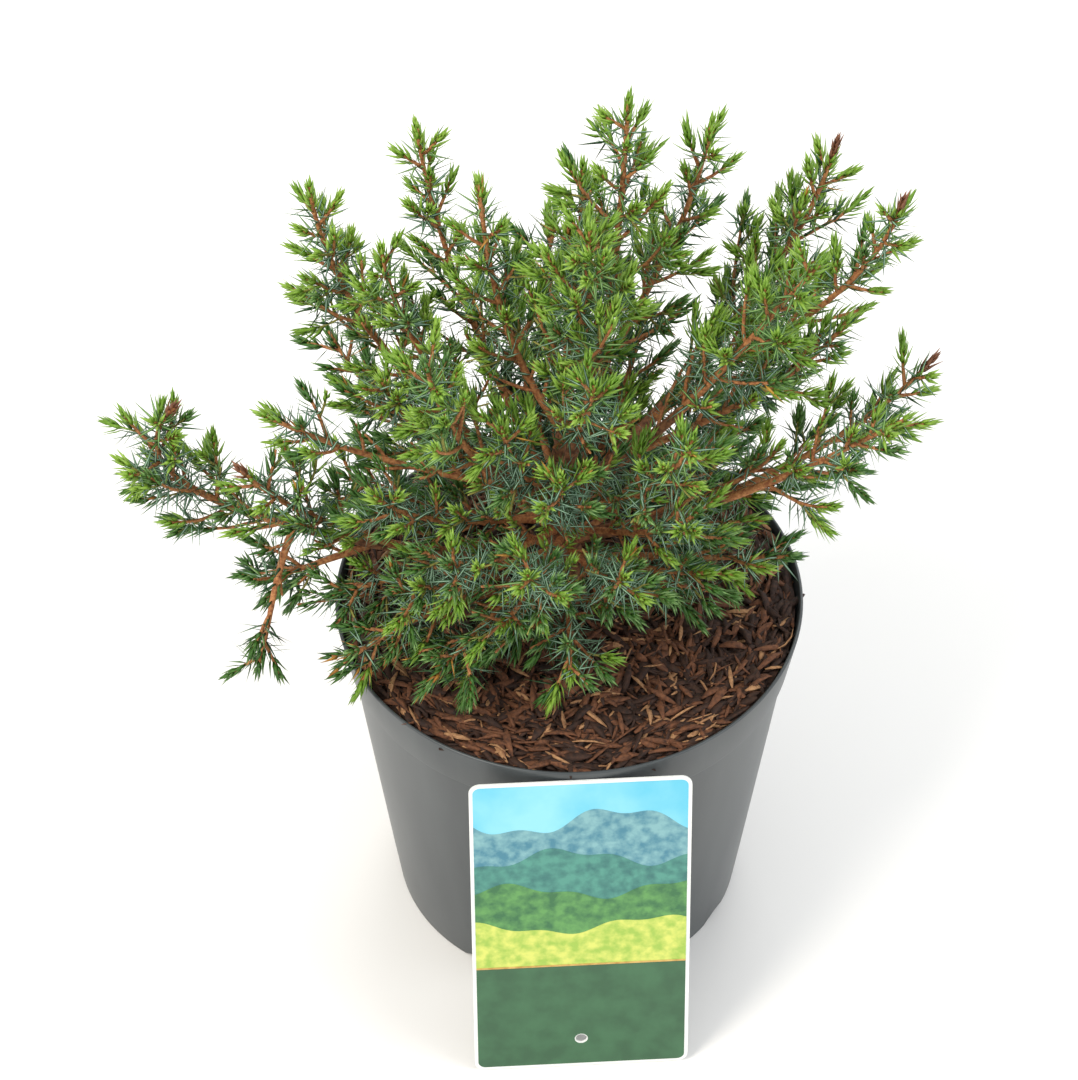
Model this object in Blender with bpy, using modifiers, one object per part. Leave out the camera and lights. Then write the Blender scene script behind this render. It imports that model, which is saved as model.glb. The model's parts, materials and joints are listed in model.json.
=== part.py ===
"""Potted shore juniper: a nursery pot, its root ball and bark mulch, a plant label, and a
low many-stemmed conifer built up from a short trunk, its boughs and their foliage.

Metres, +Z up. The origin is the middle of the pot's flat underside, and +Y is the back.
"""
import math
import random
from collections import namedtuple

import bmesh
import bpy
import numpy as np
from mathutils import Matrix, Vector

MM = 0.001
GAP = 0.3 * MM                     # air left between neighbouring solids
UP = Vector((0.0, 0.0, 1.0))
GOLDEN_TURN = math.pi * (3.0 - math.sqrt(5.0))

# Pot
POT_HEIGHT = 143.4 * MM
LIP_RADIUS = 84.0 * MM
BAND_HEIGHT = 20.7 * MM
BAND_FOOT_RADIUS = 80.7 * MM
BAND_STEP = 1.4 * MM
FOOT_RADIUS = 63.9 * MM
WALL = 1.3 * MM
FLOOR = 1.6 * MM
LIP_ROUND = 0.8 * MM
POT_FACETS = 40
NOTCHES = 4
NOTCH_BEARING = -31.0
NOTCH_RADIUS = 10.0 * MM
NOTCH_HEIGHT = 3.0 * MM

# Root ball and bark mulch
SOIL_HEIGHT = 134.0 * MM
MULCH_CROWN = 144.5 * MM           # the mulch at the middle of the pot
MULCH_EDGE = 141.5 * MM            # the mulch at the rim
MULCH_ROUGHNESS = 1.4 * MM
TRUNK_HOLE = 13.0 * MM
CHIP_COUNT = 12
CHIP_SIZE = (15.0 * MM, 5.0 * MM, 2.2 * MM)

# Plant label, a card that stands on the floor and leans on the pot's lip
LABEL_WIDTH = 78.0 * MM
LABEL_LENGTH = 141.0 * MM
LABEL_THICKNESS = 0.8 * MM
LABEL_CORNER = 4.0 * MM
LABEL_HOLE_RADIUS = 2.1 * MM
LABEL_HOLE_HEIGHT = 14.0 * MM
LABEL_FOOT = (4.7 * MM, -102.4 * MM)
LABEL_TURN = 3.4
LABEL_FLOOR_GAP = 0.1 * MM

# Trunk
TRUNK_LENGTH = 74.0 * MM
TRUNK_LEAN = Vector((-5.0, -3.0, 0.0)) * MM
TRUNK_FOOT_RADIUS = 6.6 * MM
TRUNK_FORK_RADIUS = 4.4 * MM
FLARE = 3.2 * MM                   # what the root flare adds at the cut
FLARE_HEIGHT = 9.0 * MM
FLARE_LOBES = 4

# Boughs and twigs
BOUGH_TIP_RADIUS = 1.5 * MM
BOUGH_TAPER = 0.009                # radius gained for each metre of reach
BOUGH_SHARE_OF_PARENT = 0.72
BOUGH_STEP = 17.0 * MM
STEM_RADIUS = 1.9 * MM
STEM_STEP = 9.0 * MM
TWIG_RADIUS = 1.6 * MM
TWIG_STEP = 8.2 * MM
TWIG_TIP_SHARE = 0.55
TWIG_SPACING = 9.2 * MM
TWIG_ANGLE = 55.0
TWIG_LEAST_JOINTS = 3
NEEDLE_LENGTH = 13.0 * MM
END_NEEDLE = 9.0 * MM              # how far the last needles stand past a stem's end
NEEDLE_LEAN = 38.0
NEEDLE_TIP_LEAN = 62.0
NEEDLE_SHARE = 0.86                # how many of a twig's faces bear a needle
WHORL_TURN = math.radians(137.5 - 120.0)

# Room that foliage keeps
NEIGHBOUR_ROOM = 0.8 * MM
LIMB_ROOM = 1.0 * MM
POT_ROOM_HEIGHT = 149.5 * MM
POT_ROOM_RADIUS = 97.0 * MM
LABEL_ROOM = (55.0 * MM, -70.0 * MM)

# Each shoot leaves its parent at a share of the parent's length. Its tip lies on a
# bearing, at a reach from the pot's axis and a height above the floor (millimetres).
# The bare share of it is its bough, and the rest carries foliage, spread round it.
Shoot = namedtuple("Shoot", "name parent leaves bearing reach height bare launch finish spread")
SHOOTS = [
    Shoot("leader", "trunk", 1.00, -60, 12, 342, 0.30, 84, 88, 38),
    Shoot("leader_left", "leader", 0.60, 160, 34, 342, 0.0, 50, 84, 32),
    Shoot("crest", "trunk", 0.90, 58, 36, 362, 0.42, 54, 86, 34),
    Shoot("crest_right", "crest", 0.55, 47, 71, 332, 0.0, 48, 80, 34),
    Shoot("back_centre", "trunk", 0.84, 86, 62, 304, 0.0, 42, 82, 38),
    Shoot("back_left_tuft", "trunk", 0.76, 132, 80, 324, 0.0, 45, 80, 38),
    Shoot("left_column", "trunk", 0.66, 157, 97, 316, 0.42, 32, 85, 34),
    Shoot("left_shoulder", "left_column", 0.60, 168, 66, 310, 0.0, 72, 85, 38),
    Shoot("left_inner", "left_column", 0.35, -176, 66, 266, 0.0, 50, 80, 42),
    Shoot("face_left", "trunk", 0.80, -138, 66, 312, 0.42, 46, 80, 38),
    Shoot("front_shoot", "face_left", 0.45, -165, 114, 270, 0.0, 25, 42, 36),
    Shoot("centre_left", "trunk", 0.68, -150, 82, 244, 0.0, 30, 60, 44),
    Shoot("left_curl", "trunk", 0.36, -175, 130, 258, 0.50, 8, 128, 34),
    Shoot("left_stub", "left_curl", 0.56, -165, 120, 247, 0.0, 42, 62, 36),
    Shoot("left_hang", "left_curl", 0.66, -171, 118, 168, 0.0, -14, -10, 44),
    Shoot("left_fringe", "left_curl", 0.93, -161, 122, 140, 0.0, -25, -50, 38),
    Shoot("left_low", "left_curl", 0.34, -163, 96, 172, 0.0, 8, 5, 48),
    Shoot("low_left", "trunk", 0.48, -141, 86, 204, 0.0, 22, 35, 46),
    Shoot("low_left_outer", "trunk", 0.25, -147, 104, 160, 0.0, 20, -22, 44),
    Shoot("front_left_low", "trunk", 0.40, -128, 85, 164, 0.0, 20, -14, 44),
    Shoot("front_low", "trunk", 0.28, -90, 70, 166, 0.0, 28, -8, 44),
    Shoot("front_fill", "trunk", 0.48, -112, 72, 194, 0.0, 26, 20, 46),
    Shoot("front_face", "trunk", 0.58, -102, 74, 236, 0.0, 30, 60, 48),
    Shoot("front_left_mid", "trunk", 0.62, -126, 76, 230, 0.0, 32, 58, 46),
    Shoot("centre", "trunk", 0.76, -94, 54, 266, 0.0, 40, 72, 44),
    Shoot("centre_front", "trunk", 0.90, -118, 52, 284, 0.0, 46, 76, 44),
    Shoot("face_right", "trunk", 0.74, -50, 65, 282, 0.0, 46, 75, 42),
    Shoot("face_centre", "leader", 0.55, -80, 44, 300, 0.0, 44, 78, 40),
    Shoot("front_mid", "trunk", 0.50, -72, 66, 222, 0.0, 28, 52, 46),
    Shoot("right_front", "trunk", 0.62, -46, 66, 242, 0.0, 34, 62, 42),
    Shoot("right_bright", "trunk", 0.82, -12, 88, 332, 0.42, 45, 60, 36),
    Shoot("right_mid", "right_bright", 0.50, 3, 98, 283, 0.0, 28, 60, 38),
    Shoot("right_low_tip", "trunk", 0.54, -14, 122, 268, 0.46, 25, 45, 34),
    Shoot("right_far", "right_low_tip", 0.62, 6, 130, 255, 0.0, 15, 52, 34),
    Shoot("right_inner", "right_low_tip", 0.40, -6, 76, 236, 0.0, 40, 66, 42),
    Shoot("right_skirt", "trunk", 0.38, -11, 88, 182, 0.0, 22, 15, 40),
    Shoot("front_right_low", "trunk", 0.43, -34, 66, 196, 0.0, 26, 35, 44),
    Shoot("right_back", "trunk", 0.70, 38, 119, 304, 0.44, 33, 74, 38),
    Shoot("right_brown", "right_back", 0.60, 10, 114, 326, 0.0, 50, 80, 34),
    Shoot("back", "trunk", 0.60, 94, 110, 240, 0.0, 22, 65, 44),
    Shoot("back_inner", "trunk", 0.90, 114, 58, 258, 0.0, 34, 70, 44),
    Shoot("back_left", "trunk", 0.52, 140, 118, 212, 0.0, 18, 55, 44),
    Shoot("back_right", "trunk", 0.44, 45, 118, 205, 0.0, 18, 55, 44),
    Shoot("back_right_inner", "trunk", 0.56, 64, 64, 240, 0.0, 30, 66, 44),
    Shoot("back_low", "trunk", 0.32, 82, 98, 178, 0.0, 24, 20, 42),
    Shoot("left_back_low", "trunk", 0.44, 166, 94, 188, 0.0, 20, 20, 44),
]


def fresh_scene():
    """Empty the scene and make the collections for the parts and for their cutters."""
    for thing in list(bpy.data.objects):
        bpy.data.objects.remove(thing, do_unlink=True)
    parts = bpy.data.collections.new("potted_shore_juniper")
    cutters = bpy.data.collections.new("cutters")
    bpy.context.scene.collection.children.link(parts)
    bpy.context.scene.collection.children.link(cutters)
    return parts, cutters


def finish(name, colour, roughness):
    """Return a Principled material of one colour."""
    material = bpy.data.materials.new(name)
    material.use_nodes = True
    shader = material.node_tree.nodes["Principled BSDF"]
    shader.inputs["Base Color"].default_value = (*colour, 1.0)
    shader.inputs["Roughness"].default_value = roughness
    shader.inputs["Metallic"].default_value = 0.0
    return material


def new_object(name, data, collection, material=None):
    thing = bpy.data.objects.new(name, data)
    collection.objects.link(thing)
    if material is not None:
        data.materials.append(material)
    return thing


def as_mesh(thing, collection, material=None):
    """Replace an object by the plain mesh that its modifiers or its curve make."""
    evaluated = thing.evaluated_get(bpy.context.evaluated_depsgraph_get())
    mesh = bpy.data.meshes.new_from_object(evaluated)
    bm = bmesh.new()
    bm.from_mesh(mesh)
    bmesh.ops.remove_doubles(bm, verts=bm.verts[:], dist=0.001 * MM)
    bm.to_mesh(mesh)
    bm.free()
    name = thing.name
    place = thing.matrix_world.copy()
    bpy.data.objects.remove(thing, do_unlink=True)
    if material is not None:
        mesh.materials.clear()
    solid = new_object(name, mesh, collection, material)
    solid.matrix_world = place
    return solid


def turned(name, profile, collection, material):
    """Turn a profile of (radius, height) points about the Z axis."""
    mesh = bpy.data.meshes.new(name)
    points = [(radius, 0.0, height) for radius, height in profile]
    mesh.from_pydata(points, [(i, i + 1) for i in range(len(points) - 1)], [])
    thing = new_object(name, mesh, collection, material)
    screw = thing.modifiers.new("turn", "SCREW")
    screw.steps = POT_FACETS
    screw.render_steps = POT_FACETS
    screw.use_merge_vertices = True
    screw.merge_threshold = 0.00001
    return thing


def wall_radius(height):
    """Outer radius of the pot's plain wall, which tapers down to its foot."""
    top = POT_HEIGHT - BAND_HEIGHT
    return FOOT_RADIUS + (BAND_FOOT_RADIUS - BAND_STEP - FOOT_RADIUS) * height / top


def band_radius(height):
    """Outer radius of the rim band, which widens up to the lip."""
    share = (POT_HEIGHT - height) / BAND_HEIGHT
    return LIP_RADIUS + (BAND_FOOT_RADIUS - LIP_RADIUS) * share


def make_pot(parts, cutters):
    """A thin turned pot with a rim band, and drainage notches round its foot."""
    material = finish("pot_charcoal", (0.045, 0.050, 0.052), 0.42)
    band_foot = POT_HEIGHT - BAND_HEIGHT
    profile = [
        (0.0, FLOOR),
        (wall_radius(FLOOR) - WALL, FLOOR),
        (wall_radius(band_foot) - WALL, band_foot),
        (BAND_FOOT_RADIUS - WALL, band_foot + BAND_STEP),
        (LIP_RADIUS - WALL - LIP_ROUND, POT_HEIGHT - LIP_ROUND),
        (LIP_RADIUS - WALL, POT_HEIGHT),
        (LIP_RADIUS - LIP_ROUND, POT_HEIGHT),
        (LIP_RADIUS, POT_HEIGHT - LIP_ROUND),
        (BAND_FOOT_RADIUS, band_foot + 0.5 * BAND_STEP),
        (wall_radius(band_foot), band_foot),
        (wall_radius(FLOOR), FLOOR),
        (FOOT_RADIUS, 0.0),
        (0.0, 0.0),
    ]
    pot = turned("pot", profile, parts, material)
    for k in range(NOTCHES):
        bearing = math.radians(NOTCH_BEARING + 360.0 / NOTCHES * k)
        out = Vector((math.cos(bearing), math.sin(bearing), 0.0))
        bm = bmesh.new()
        bmesh.ops.create_cone(bm, cap_ends=True, segments=24, radius1=NOTCH_RADIUS,
                              radius2=NOTCH_RADIUS, depth=14.0 * MM)
        mesh = bpy.data.meshes.new(f"notch_cutter_{k}")
        bm.to_mesh(mesh)
        bm.free()
        cutter = new_object(mesh.name, mesh, cutters)
        cutter.rotation_euler = out.to_track_quat("Z", "Y").to_euler()
        cutter.location = out * FOOT_RADIUS + UP * (NOTCH_HEIGHT - NOTCH_RADIUS)
        cutter.hide_render = True
        cutter.display_type = "WIRE"
        cut = pot.modifiers.new(f"notch_{k}", "BOOLEAN")
        cut.operation = "DIFFERENCE"
        cut.object = cutter
    return pot


def make_root_ball(parts):
    """Roots and peat that fill the pot up to the soil's level."""
    material = finish("peat_and_roots", (0.030, 0.020, 0.014), 0.95)
    low = FLOOR + GAP
    band_foot = POT_HEIGHT - BAND_HEIGHT
    inner = WALL + 1.5 * GAP
    profile = [
        (0.0, SOIL_HEIGHT),
        (BAND_FOOT_RADIUS - inner, SOIL_HEIGHT),
        (wall_radius(band_foot) - inner, band_foot - GAP),
        (wall_radius(low) - inner, low),
        (0.0, low),
    ]
    return turned("root_ball", profile, parts, material)


def make_mulch(parts):
    """A ring of bark mulch round the trunk, uneven on top, with chips fused on it."""
    material = finish("bark_mulch", (0.060, 0.032, 0.018), 0.9)
    rng = random.Random(11)
    outer = BAND_FOOT_RADIUS - WALL - GAP
    edge = outer + (MULCH_EDGE - SOIL_HEIGHT) * 0.12
    low = SOIL_HEIGHT + GAP
    rings = 5
    profile = [(TRUNK_HOLE, low)]
    for k in range(rings + 1):
        share = k / rings
        radius = TRUNK_HOLE + (edge - TRUNK_HOLE) * share
        profile.append((radius, MULCH_CROWN + (MULCH_EDGE - MULCH_CROWN) * share ** 1.6))
    profile += [(outer, low), (TRUNK_HOLE, low)]
    mulch = as_mesh(turned("bark_mulch", profile, parts, None), parts, material)
    for vertex in mulch.data.vertices:
        radius = math.hypot(vertex.co.x, vertex.co.y)
        if vertex.co.z > low + MM and TRUNK_HOLE + MM < radius < edge - MM:
            vertex.co.z += rng.uniform(-1.0, 1.0) * MULCH_ROUGHNESS
    chips = bpy.data.collections.new("chips")
    bpy.context.scene.collection.children.link(chips)
    for k in range(CHIP_COUNT):
        bearing = GOLDEN_TURN * k + 0.4
        share = math.sqrt((k + 0.7) / CHIP_COUNT)
        radius = (TRUNK_HOLE + 8.0 * MM) * (1.0 - share) + (edge - 9.0 * MM) * share
        height = MULCH_CROWN + (MULCH_EDGE - MULCH_CROWN) * share ** 1.6
        bm = bmesh.new()
        bmesh.ops.create_cube(bm, size=1.0)
        bmesh.ops.scale(bm, vec=CHIP_SIZE, verts=bm.verts[:])
        turn = Matrix.Rotation(rng.uniform(0.0, math.pi), 4, "Z")
        tilt = Matrix.Rotation(math.radians(rng.uniform(10.0, 24.0)), 4, "Y")
        place = Matrix.Translation((radius * math.cos(bearing), radius * math.sin(bearing), height))
        bmesh.ops.transform(bm, matrix=place @ turn @ tilt, verts=bm.verts[:])
        mesh = bpy.data.meshes.new(f"chip_{k}")
        bm.to_mesh(mesh)
        bm.free()
        new_object(mesh.name, mesh, chips)
    return fuse(mulch, chips, parts, material)


def fuse(base, extras, parts, material):
    """Join a collection of solids to a base by one Boolean, then drop the collection."""
    join = base.modifiers.new("fuse", "BOOLEAN")
    join.operation = "UNION"
    join.operand_type = "COLLECTION"
    join.collection = extras
    fused = as_mesh(base, parts, material)
    for thing in list(extras.objects):
        bpy.data.objects.remove(thing, do_unlink=True)
    bpy.data.collections.remove(extras)
    return fused


def rounded_card(width, length, corner, arc_points=5):
    """Outline of a card with round corners, its foot on the X axis."""
    middles = [(width / 2 - corner, corner, -90), (width / 2 - corner, length - corner, 0),
               (corner - width / 2, length - corner, 90), (corner - width / 2, corner, 180)]
    outline = []
    for x, y, start in middles:
        for k in range(arc_points):
            turn = math.radians(start + 90.0 * k / (arc_points - 1))
            outline.append((x + corner * math.cos(turn), y + corner * math.sin(turn)))
    return outline


def circle_points(x, y, radius, count):
    turns = [2.0 * math.pi * k / count for k in range(count)]
    return [(x + radius * math.cos(turn), y + radius * math.sin(turn)) for turn in turns]


def make_label(parts):
    """A thin card with a hole near its foot, leaning back on the pot's lip."""
    material = finish("label_card", (0.11, 0.24, 0.13), 0.35)
    curve = bpy.data.curves.new("plant_label", "CURVE")
    curve.dimensions = "2D"
    curve.fill_mode = "BOTH"
    curve.extrude = LABEL_THICKNESS / 2.0
    outline = rounded_card(LABEL_WIDTH, LABEL_LENGTH, LABEL_CORNER)
    hole = circle_points(0.0, LABEL_HOLE_HEIGHT, LABEL_HOLE_RADIUS, 14)
    for loop in (outline, hole):
        spline = curve.splines.new("POLY")
        spline.points.add(len(loop) - 1)
        for point, (x, y) in zip(spline.points, loop):
            point.co = (x, y, 0.0, 1.0)
        spline.use_cyclic_u = True
    card = new_object("plant_label", curve, parts)
    turn = math.radians(LABEL_TURN)
    ahead = Vector((math.sin(turn), -math.cos(turn), 0.0))
    foot = Vector((*LABEL_FOOT, LABEL_FLOOR_GAP))
    half = LABEL_THICKNESS / 2.0
    lean = 0.0
    for _ in range(3):
        clear = band_radius(LABEL_LENGTH * math.cos(lean)) + GAP + half
        lean = math.asin((foot.dot(ahead) - clear) / LABEL_LENGTH)
    card.matrix_world = (
        Matrix.Translation(foot + UP * half * math.sin(lean))
        @ Matrix.Rotation(turn, 4, "Z")
        @ Matrix.Rotation(math.pi / 2 - lean, 4, "X")
    )
    bpy.context.view_layer.update()
    return as_mesh(card, parts, material)


def heading(bearing, pitch):
    """Unit vector for a compass bearing (from +X towards +Y) and a pitch above level."""
    bearing = math.radians(bearing)
    pitch = math.radians(pitch)
    return Vector((math.cos(bearing) * math.cos(pitch), math.sin(bearing) * math.cos(pitch),
                   math.sin(pitch)))


class Path:
    """A smooth limb line: one cubic curve from a start to a tip."""

    def __init__(self, start, tip, launch, finish_pitch):
        flat = Vector((tip.x - start.x, tip.y - start.y, 0.0))
        bearing = math.degrees(math.atan2(flat.y, flat.x))
        hold = (tip - start).length * 0.36
        self.cage = [start, start + heading(bearing, launch) * hold,
                     tip - heading(bearing, finish_pitch) * hold, tip]
        steps = [self.point(k / 60.0) for k in range(61)]
        self.length = sum((b - a).length for a, b in zip(steps, steps[1:]))

    def point(self, share):
        rest = 1.0 - share
        weights = (rest ** 3, 3 * rest * rest * share, 3 * rest * share * share, share ** 3)
        return sum((corner * weight for corner, weight in zip(self.cage, weights)), Vector())

    def tangent(self, share):
        step = 0.004
        low = max(0.0, share - step)
        high = min(1.0, share + step)
        return (self.point(high) - self.point(low)).normalized()

    def stretch(self, begin, end, step):
        """Points from one share to another, about a step apart, with at least three."""
        count = max(2, round((end - begin) * self.length / step))
        return [self.point(begin + (end - begin) * k / count) for k in range(count + 1)]


class Limb:
    """A bare limb: the trunk or one bough, as a line of points with their radii."""

    def __init__(self, points, radii):
        self.points = points
        self.radii = radii

    def at(self, share):
        place = share * (len(self.points) - 1)
        low = min(int(place), len(self.points) - 2)
        part = place - low
        point = self.points[low].lerp(self.points[low + 1], part)
        radius = self.radii[low] * (1.0 - part) + self.radii[low + 1] * part
        return point, radius

    def samples(self, step=2.0 * MM):
        """Points and radii close together along the limb, for keeping clear of it."""
        length = sum((b - a).length for a, b in zip(self.points, self.points[1:]))
        count = max(2, int(length / step))
        return [self.at(k / count) for k in range(count + 1)]


def trunk_limb():
    """The short leaning trunk, from its flat cut at the soil to its fork."""
    foot = UP * (SOIL_HEIGHT + GAP)
    shares = (0.0, 0.05, 0.13, 0.3, 0.55, 0.8, 1.0)
    points = []
    radii = []
    for share in shares:
        height = TRUNK_LENGTH * share
        points.append(foot + UP * height + TRUNK_LEAN * share ** 1.5)
        flare = FLARE * math.exp(-height / FLARE_HEIGHT * 1.6)
        radii.append(TRUNK_FOOT_RADIUS + (TRUNK_FORK_RADIUS - TRUNK_FOOT_RADIUS) * share + flare)
    return Limb(points, radii)


def lay_out_shoots():
    """Work out each shoot's line, its bough, and where its foliage begins."""
    limbs = {"trunk": trunk_limb()}
    layout = []
    for shoot in SHOOTS:
        start, parent_radius = limbs[shoot.parent].at(shoot.leaves)
        tip = heading(shoot.bearing, 0.0) * shoot.reach * MM + UP * shoot.height * MM
        tip -= heading(shoot.bearing, shoot.finish) * END_NEEDLE
        path = Path(start, tip, shoot.launch, shoot.finish)
        base_radius = min(BOUGH_TIP_RADIUS + BOUGH_TAPER * path.length,
                          BOUGH_SHARE_OF_PARENT * parent_radius)
        bough = None
        begin = 0.0
        if shoot.bare > 0.0:
            points = path.stretch(0.0, shoot.bare, BOUGH_STEP)
            last = len(points) - 1
            radii = [base_radius + (BOUGH_TIP_RADIUS - base_radius) * k / last
                     for k in range(last + 1)]
            bough = Limb(points, radii)
            limbs[shoot.name] = bough
            begin = shoot.bare + 1.2 * GAP / path.length
        layout.append((shoot, path, bough, begin))
    return limbs, layout


def tube(name, points, radii, collection, roundness=1):
    """A round tapering tube as a welded mesh, made from a bevelled curve."""
    curve = bpy.data.curves.new(name, "CURVE")
    curve.dimensions = "3D"
    curve.bevel_depth = max(radii)
    curve.bevel_resolution = roundness
    curve.use_fill_caps = True
    spline = curve.splines.new("POLY")
    spline.points.add(len(points) - 1)
    for point, place, radius in zip(spline.points, points, radii):
        point.co = (*place, 1.0)
        point.radius = radius / max(radii)
    return as_mesh(new_object(name, curve, collection), collection)


def fat_copy(limb, cutters, roundness):
    """The parent limb with its gap round it, to trim what starts on it."""
    ahead = (limb.points[-1] - limb.points[-2]).normalized()
    points = limb.points[:-1] + [limb.points[-1] + ahead * 1.2 * GAP]
    return tube("parent_cutter", points, [r + 1.15 * GAP for r in limb.radii], cutters, roundness)


def limb_roundness(name):
    """Bevel resolution of a limb's section: the trunk has eight sides, a bough six."""
    return 2 if name == "trunk" else 1


def trim_at_parent(thing, limb, parts, cutters, material, roundness):
    cutter = fat_copy(limb, cutters, roundness)
    cut = thing.modifiers.new("trim", "BOOLEAN")
    cut.operation = "DIFFERENCE"
    cut.object = cutter
    trimmed = as_mesh(thing, parts, material)
    bpy.data.objects.remove(cutter, do_unlink=True)
    return trimmed


def make_trunk(limb, parts, material):
    """The trunk, with the lobes of its root flare pushed out round the cut."""
    trunk = tube("trunk", limb.points, limb.radii, parts, 2)
    trunk.data.materials.append(material)
    foot = limb.points[0]
    for vertex in trunk.data.vertices:
        height = vertex.co.z - foot.z
        share = math.exp(-height / FLARE_HEIGHT * 1.6)
        turn = math.atan2(vertex.co.y - foot.y, vertex.co.x - foot.x)
        push = 1.0 + 0.16 * share * math.cos(FLARE_LOBES * turn)
        vertex.co.x = foot.x + (vertex.co.x - foot.x) * push
        vertex.co.y = foot.y + (vertex.co.y - foot.y) * push
    return trunk


class Room:
    """What space each mass of foliage has, between its neighbours, limbs and pot."""

    def __init__(self, limbs, layout):
        self.lines = []
        self.spreads = []
        for shoot, path, bough, begin in layout:
            line = path.stretch(begin, 1.0, 3.0 * MM)
            self.lines.append(np.array([tuple(p) for p in line]))
            self.spreads.append(shoot.spread * MM)
        samples = [pair for limb in limbs.values() for pair in limb.samples()]
        self.limb_points = np.array([tuple(point) for point, radius in samples])
        self.limb_radii = np.array([radius for point, radius in samples])

    def reach_beyond(self, place, index):
        """Distance from one mass's line, less that mass's spread."""
        away = np.linalg.norm(self.lines[index] - place, axis=1).min()
        return away - self.spreads[index]

    def holds(self, place, index, thickness=0.0):
        """Whether a point of a mass, with some thickness round it, is in its own room."""
        place = np.array(tuple(place))
        radius = math.hypot(place[0], place[1])
        if place[2] < POT_ROOM_HEIGHT + thickness:
            ahead_of_pot = abs(place[0]) < LABEL_ROOM[0] and place[1] < LABEL_ROOM[1]
            if radius < POT_ROOM_RADIUS + thickness or ahead_of_pot:
                return False
        own = self.reach_beyond(place, index)
        if own > 0.0:
            return False
        for other in range(len(self.lines)):
            if other != index:
                beyond = self.reach_beyond(place, other)
                if beyond < own + 2.0 * (NEIGHBOUR_ROOM + thickness):
                    return False
                if beyond + self.spreads[other] < STEM_RADIUS + LIMB_ROOM + thickness:
                    return False
        away = np.linalg.norm(self.limb_points - place, axis=1) - self.limb_radii
        return away.min() > LIMB_ROOM + thickness


def ring_places(points, radii, turn):
    """Placing matrices for rings along a line, each turned a little from the last."""
    places = []
    spin = None
    for k, point in enumerate(points):
        before = points[max(k - 1, 0)]
        after = points[min(k + 1, len(points) - 1)]
        tangent = (after - before).normalized()
        if spin is None:
            spin = tangent.to_track_quat("Z", "Y")
        else:
            spin = last_tangent.rotation_difference(tangent) @ spin
        last_tangent = tangent
        places.append(Matrix.Translation(point) @ spin.to_matrix().to_4x4()
                      @ Matrix.Rotation(turn * k, 4, "Z") @ Matrix.Scale(radii[k], 4))
    return places


def grow_sprig(name, points, radii, index, room, rng, collection, bare_joints=0):
    """A three-sided twig grown ring by ring, whose side faces rise into needles."""
    places = ring_places(points, radii, WHORL_TURN)
    bm = bmesh.new()
    bmesh.ops.create_circle(bm, cap_ends=True, segments=3, radius=1.0, matrix=places[0])
    tip = bm.faces[:][0]
    for k in range(1, len(points)):
        grown = bmesh.ops.extrude_face_region(bm, geom=[tip])["geom"]
        ring = [item for item in grown if isinstance(item, bmesh.types.BMVert)]
        if k > 1:
            bmesh.ops.delete(bm, geom=[tip], context="FACES_ONLY")
        tip = next(item for item in grown if isinstance(item, bmesh.types.BMFace))
        bmesh.ops.transform(bm, matrix=places[k] @ places[k - 1].inverted(), verts=ring)
    bmesh.ops.recalc_face_normals(bm, faces=bm.faces[:])
    sides = [face for face in bm.faces if len(face.verts) == 4]
    line = np.array([tuple(p) for p in points])
    for face in sides:
        middle = face.calc_center_median()
        joint = int(np.linalg.norm(line - np.array(tuple(middle)), axis=1).argmin())
        share = joint / (len(points) - 1)
        if joint < bare_joints or rng.random() > NEEDLE_SHARE:
            continue
        ahead = (points[min(joint + 1, len(points) - 1)] - points[max(joint - 1, 0)]).normalized()
        lean = math.radians(NEEDLE_LEAN + (NEEDLE_TIP_LEAN - NEEDLE_LEAN) * share ** 2
                            + rng.uniform(-7.0, 7.0))
        length = NEEDLE_LENGTH * (1.0 - 0.25 * share) * rng.uniform(0.85, 1.1)
        apex = middle + (face.normal * math.cos(lean) + ahead * math.sin(lean)) * length
        if all(room.holds(middle.lerp(apex, part), index) for part in (0.35, 0.7, 1.0)):
            needle = bmesh.ops.poke(bm, faces=[face])["verts"][0]
            needle.co = apex
    end = points[-1] + (points[-1] - points[-2]).normalized() * END_NEEDLE
    if room.holds(end, index):
        bmesh.ops.poke(bm, faces=[tip])["verts"][0].co = end
    bmesh.ops.triangulate(bm, faces=bm.faces[:])
    bmesh.ops.recalc_face_normals(bm, faces=bm.faces[:])
    mesh = bpy.data.meshes.new(name)
    bm.to_mesh(mesh)
    bm.free()
    return new_object(name, mesh, collection)


def taper(count, first, last):
    return [first + (last - first) * k / (count - 1) for k in range(count)]


def twig_line(base, aim, lift, length, index, room):
    """A twig's points, bending towards the lift, as far as its mass has room."""
    points = [base]
    for k in range(max(1, round(length / TWIG_STEP))):
        aim = (aim + lift * 0.14 + UP * 0.05).normalized()
        point = points[-1] + aim * TWIG_STEP
        if k > 0 and not room.holds(point, index, TWIG_RADIUS):
            break
        points.append(point)
    return points


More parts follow.
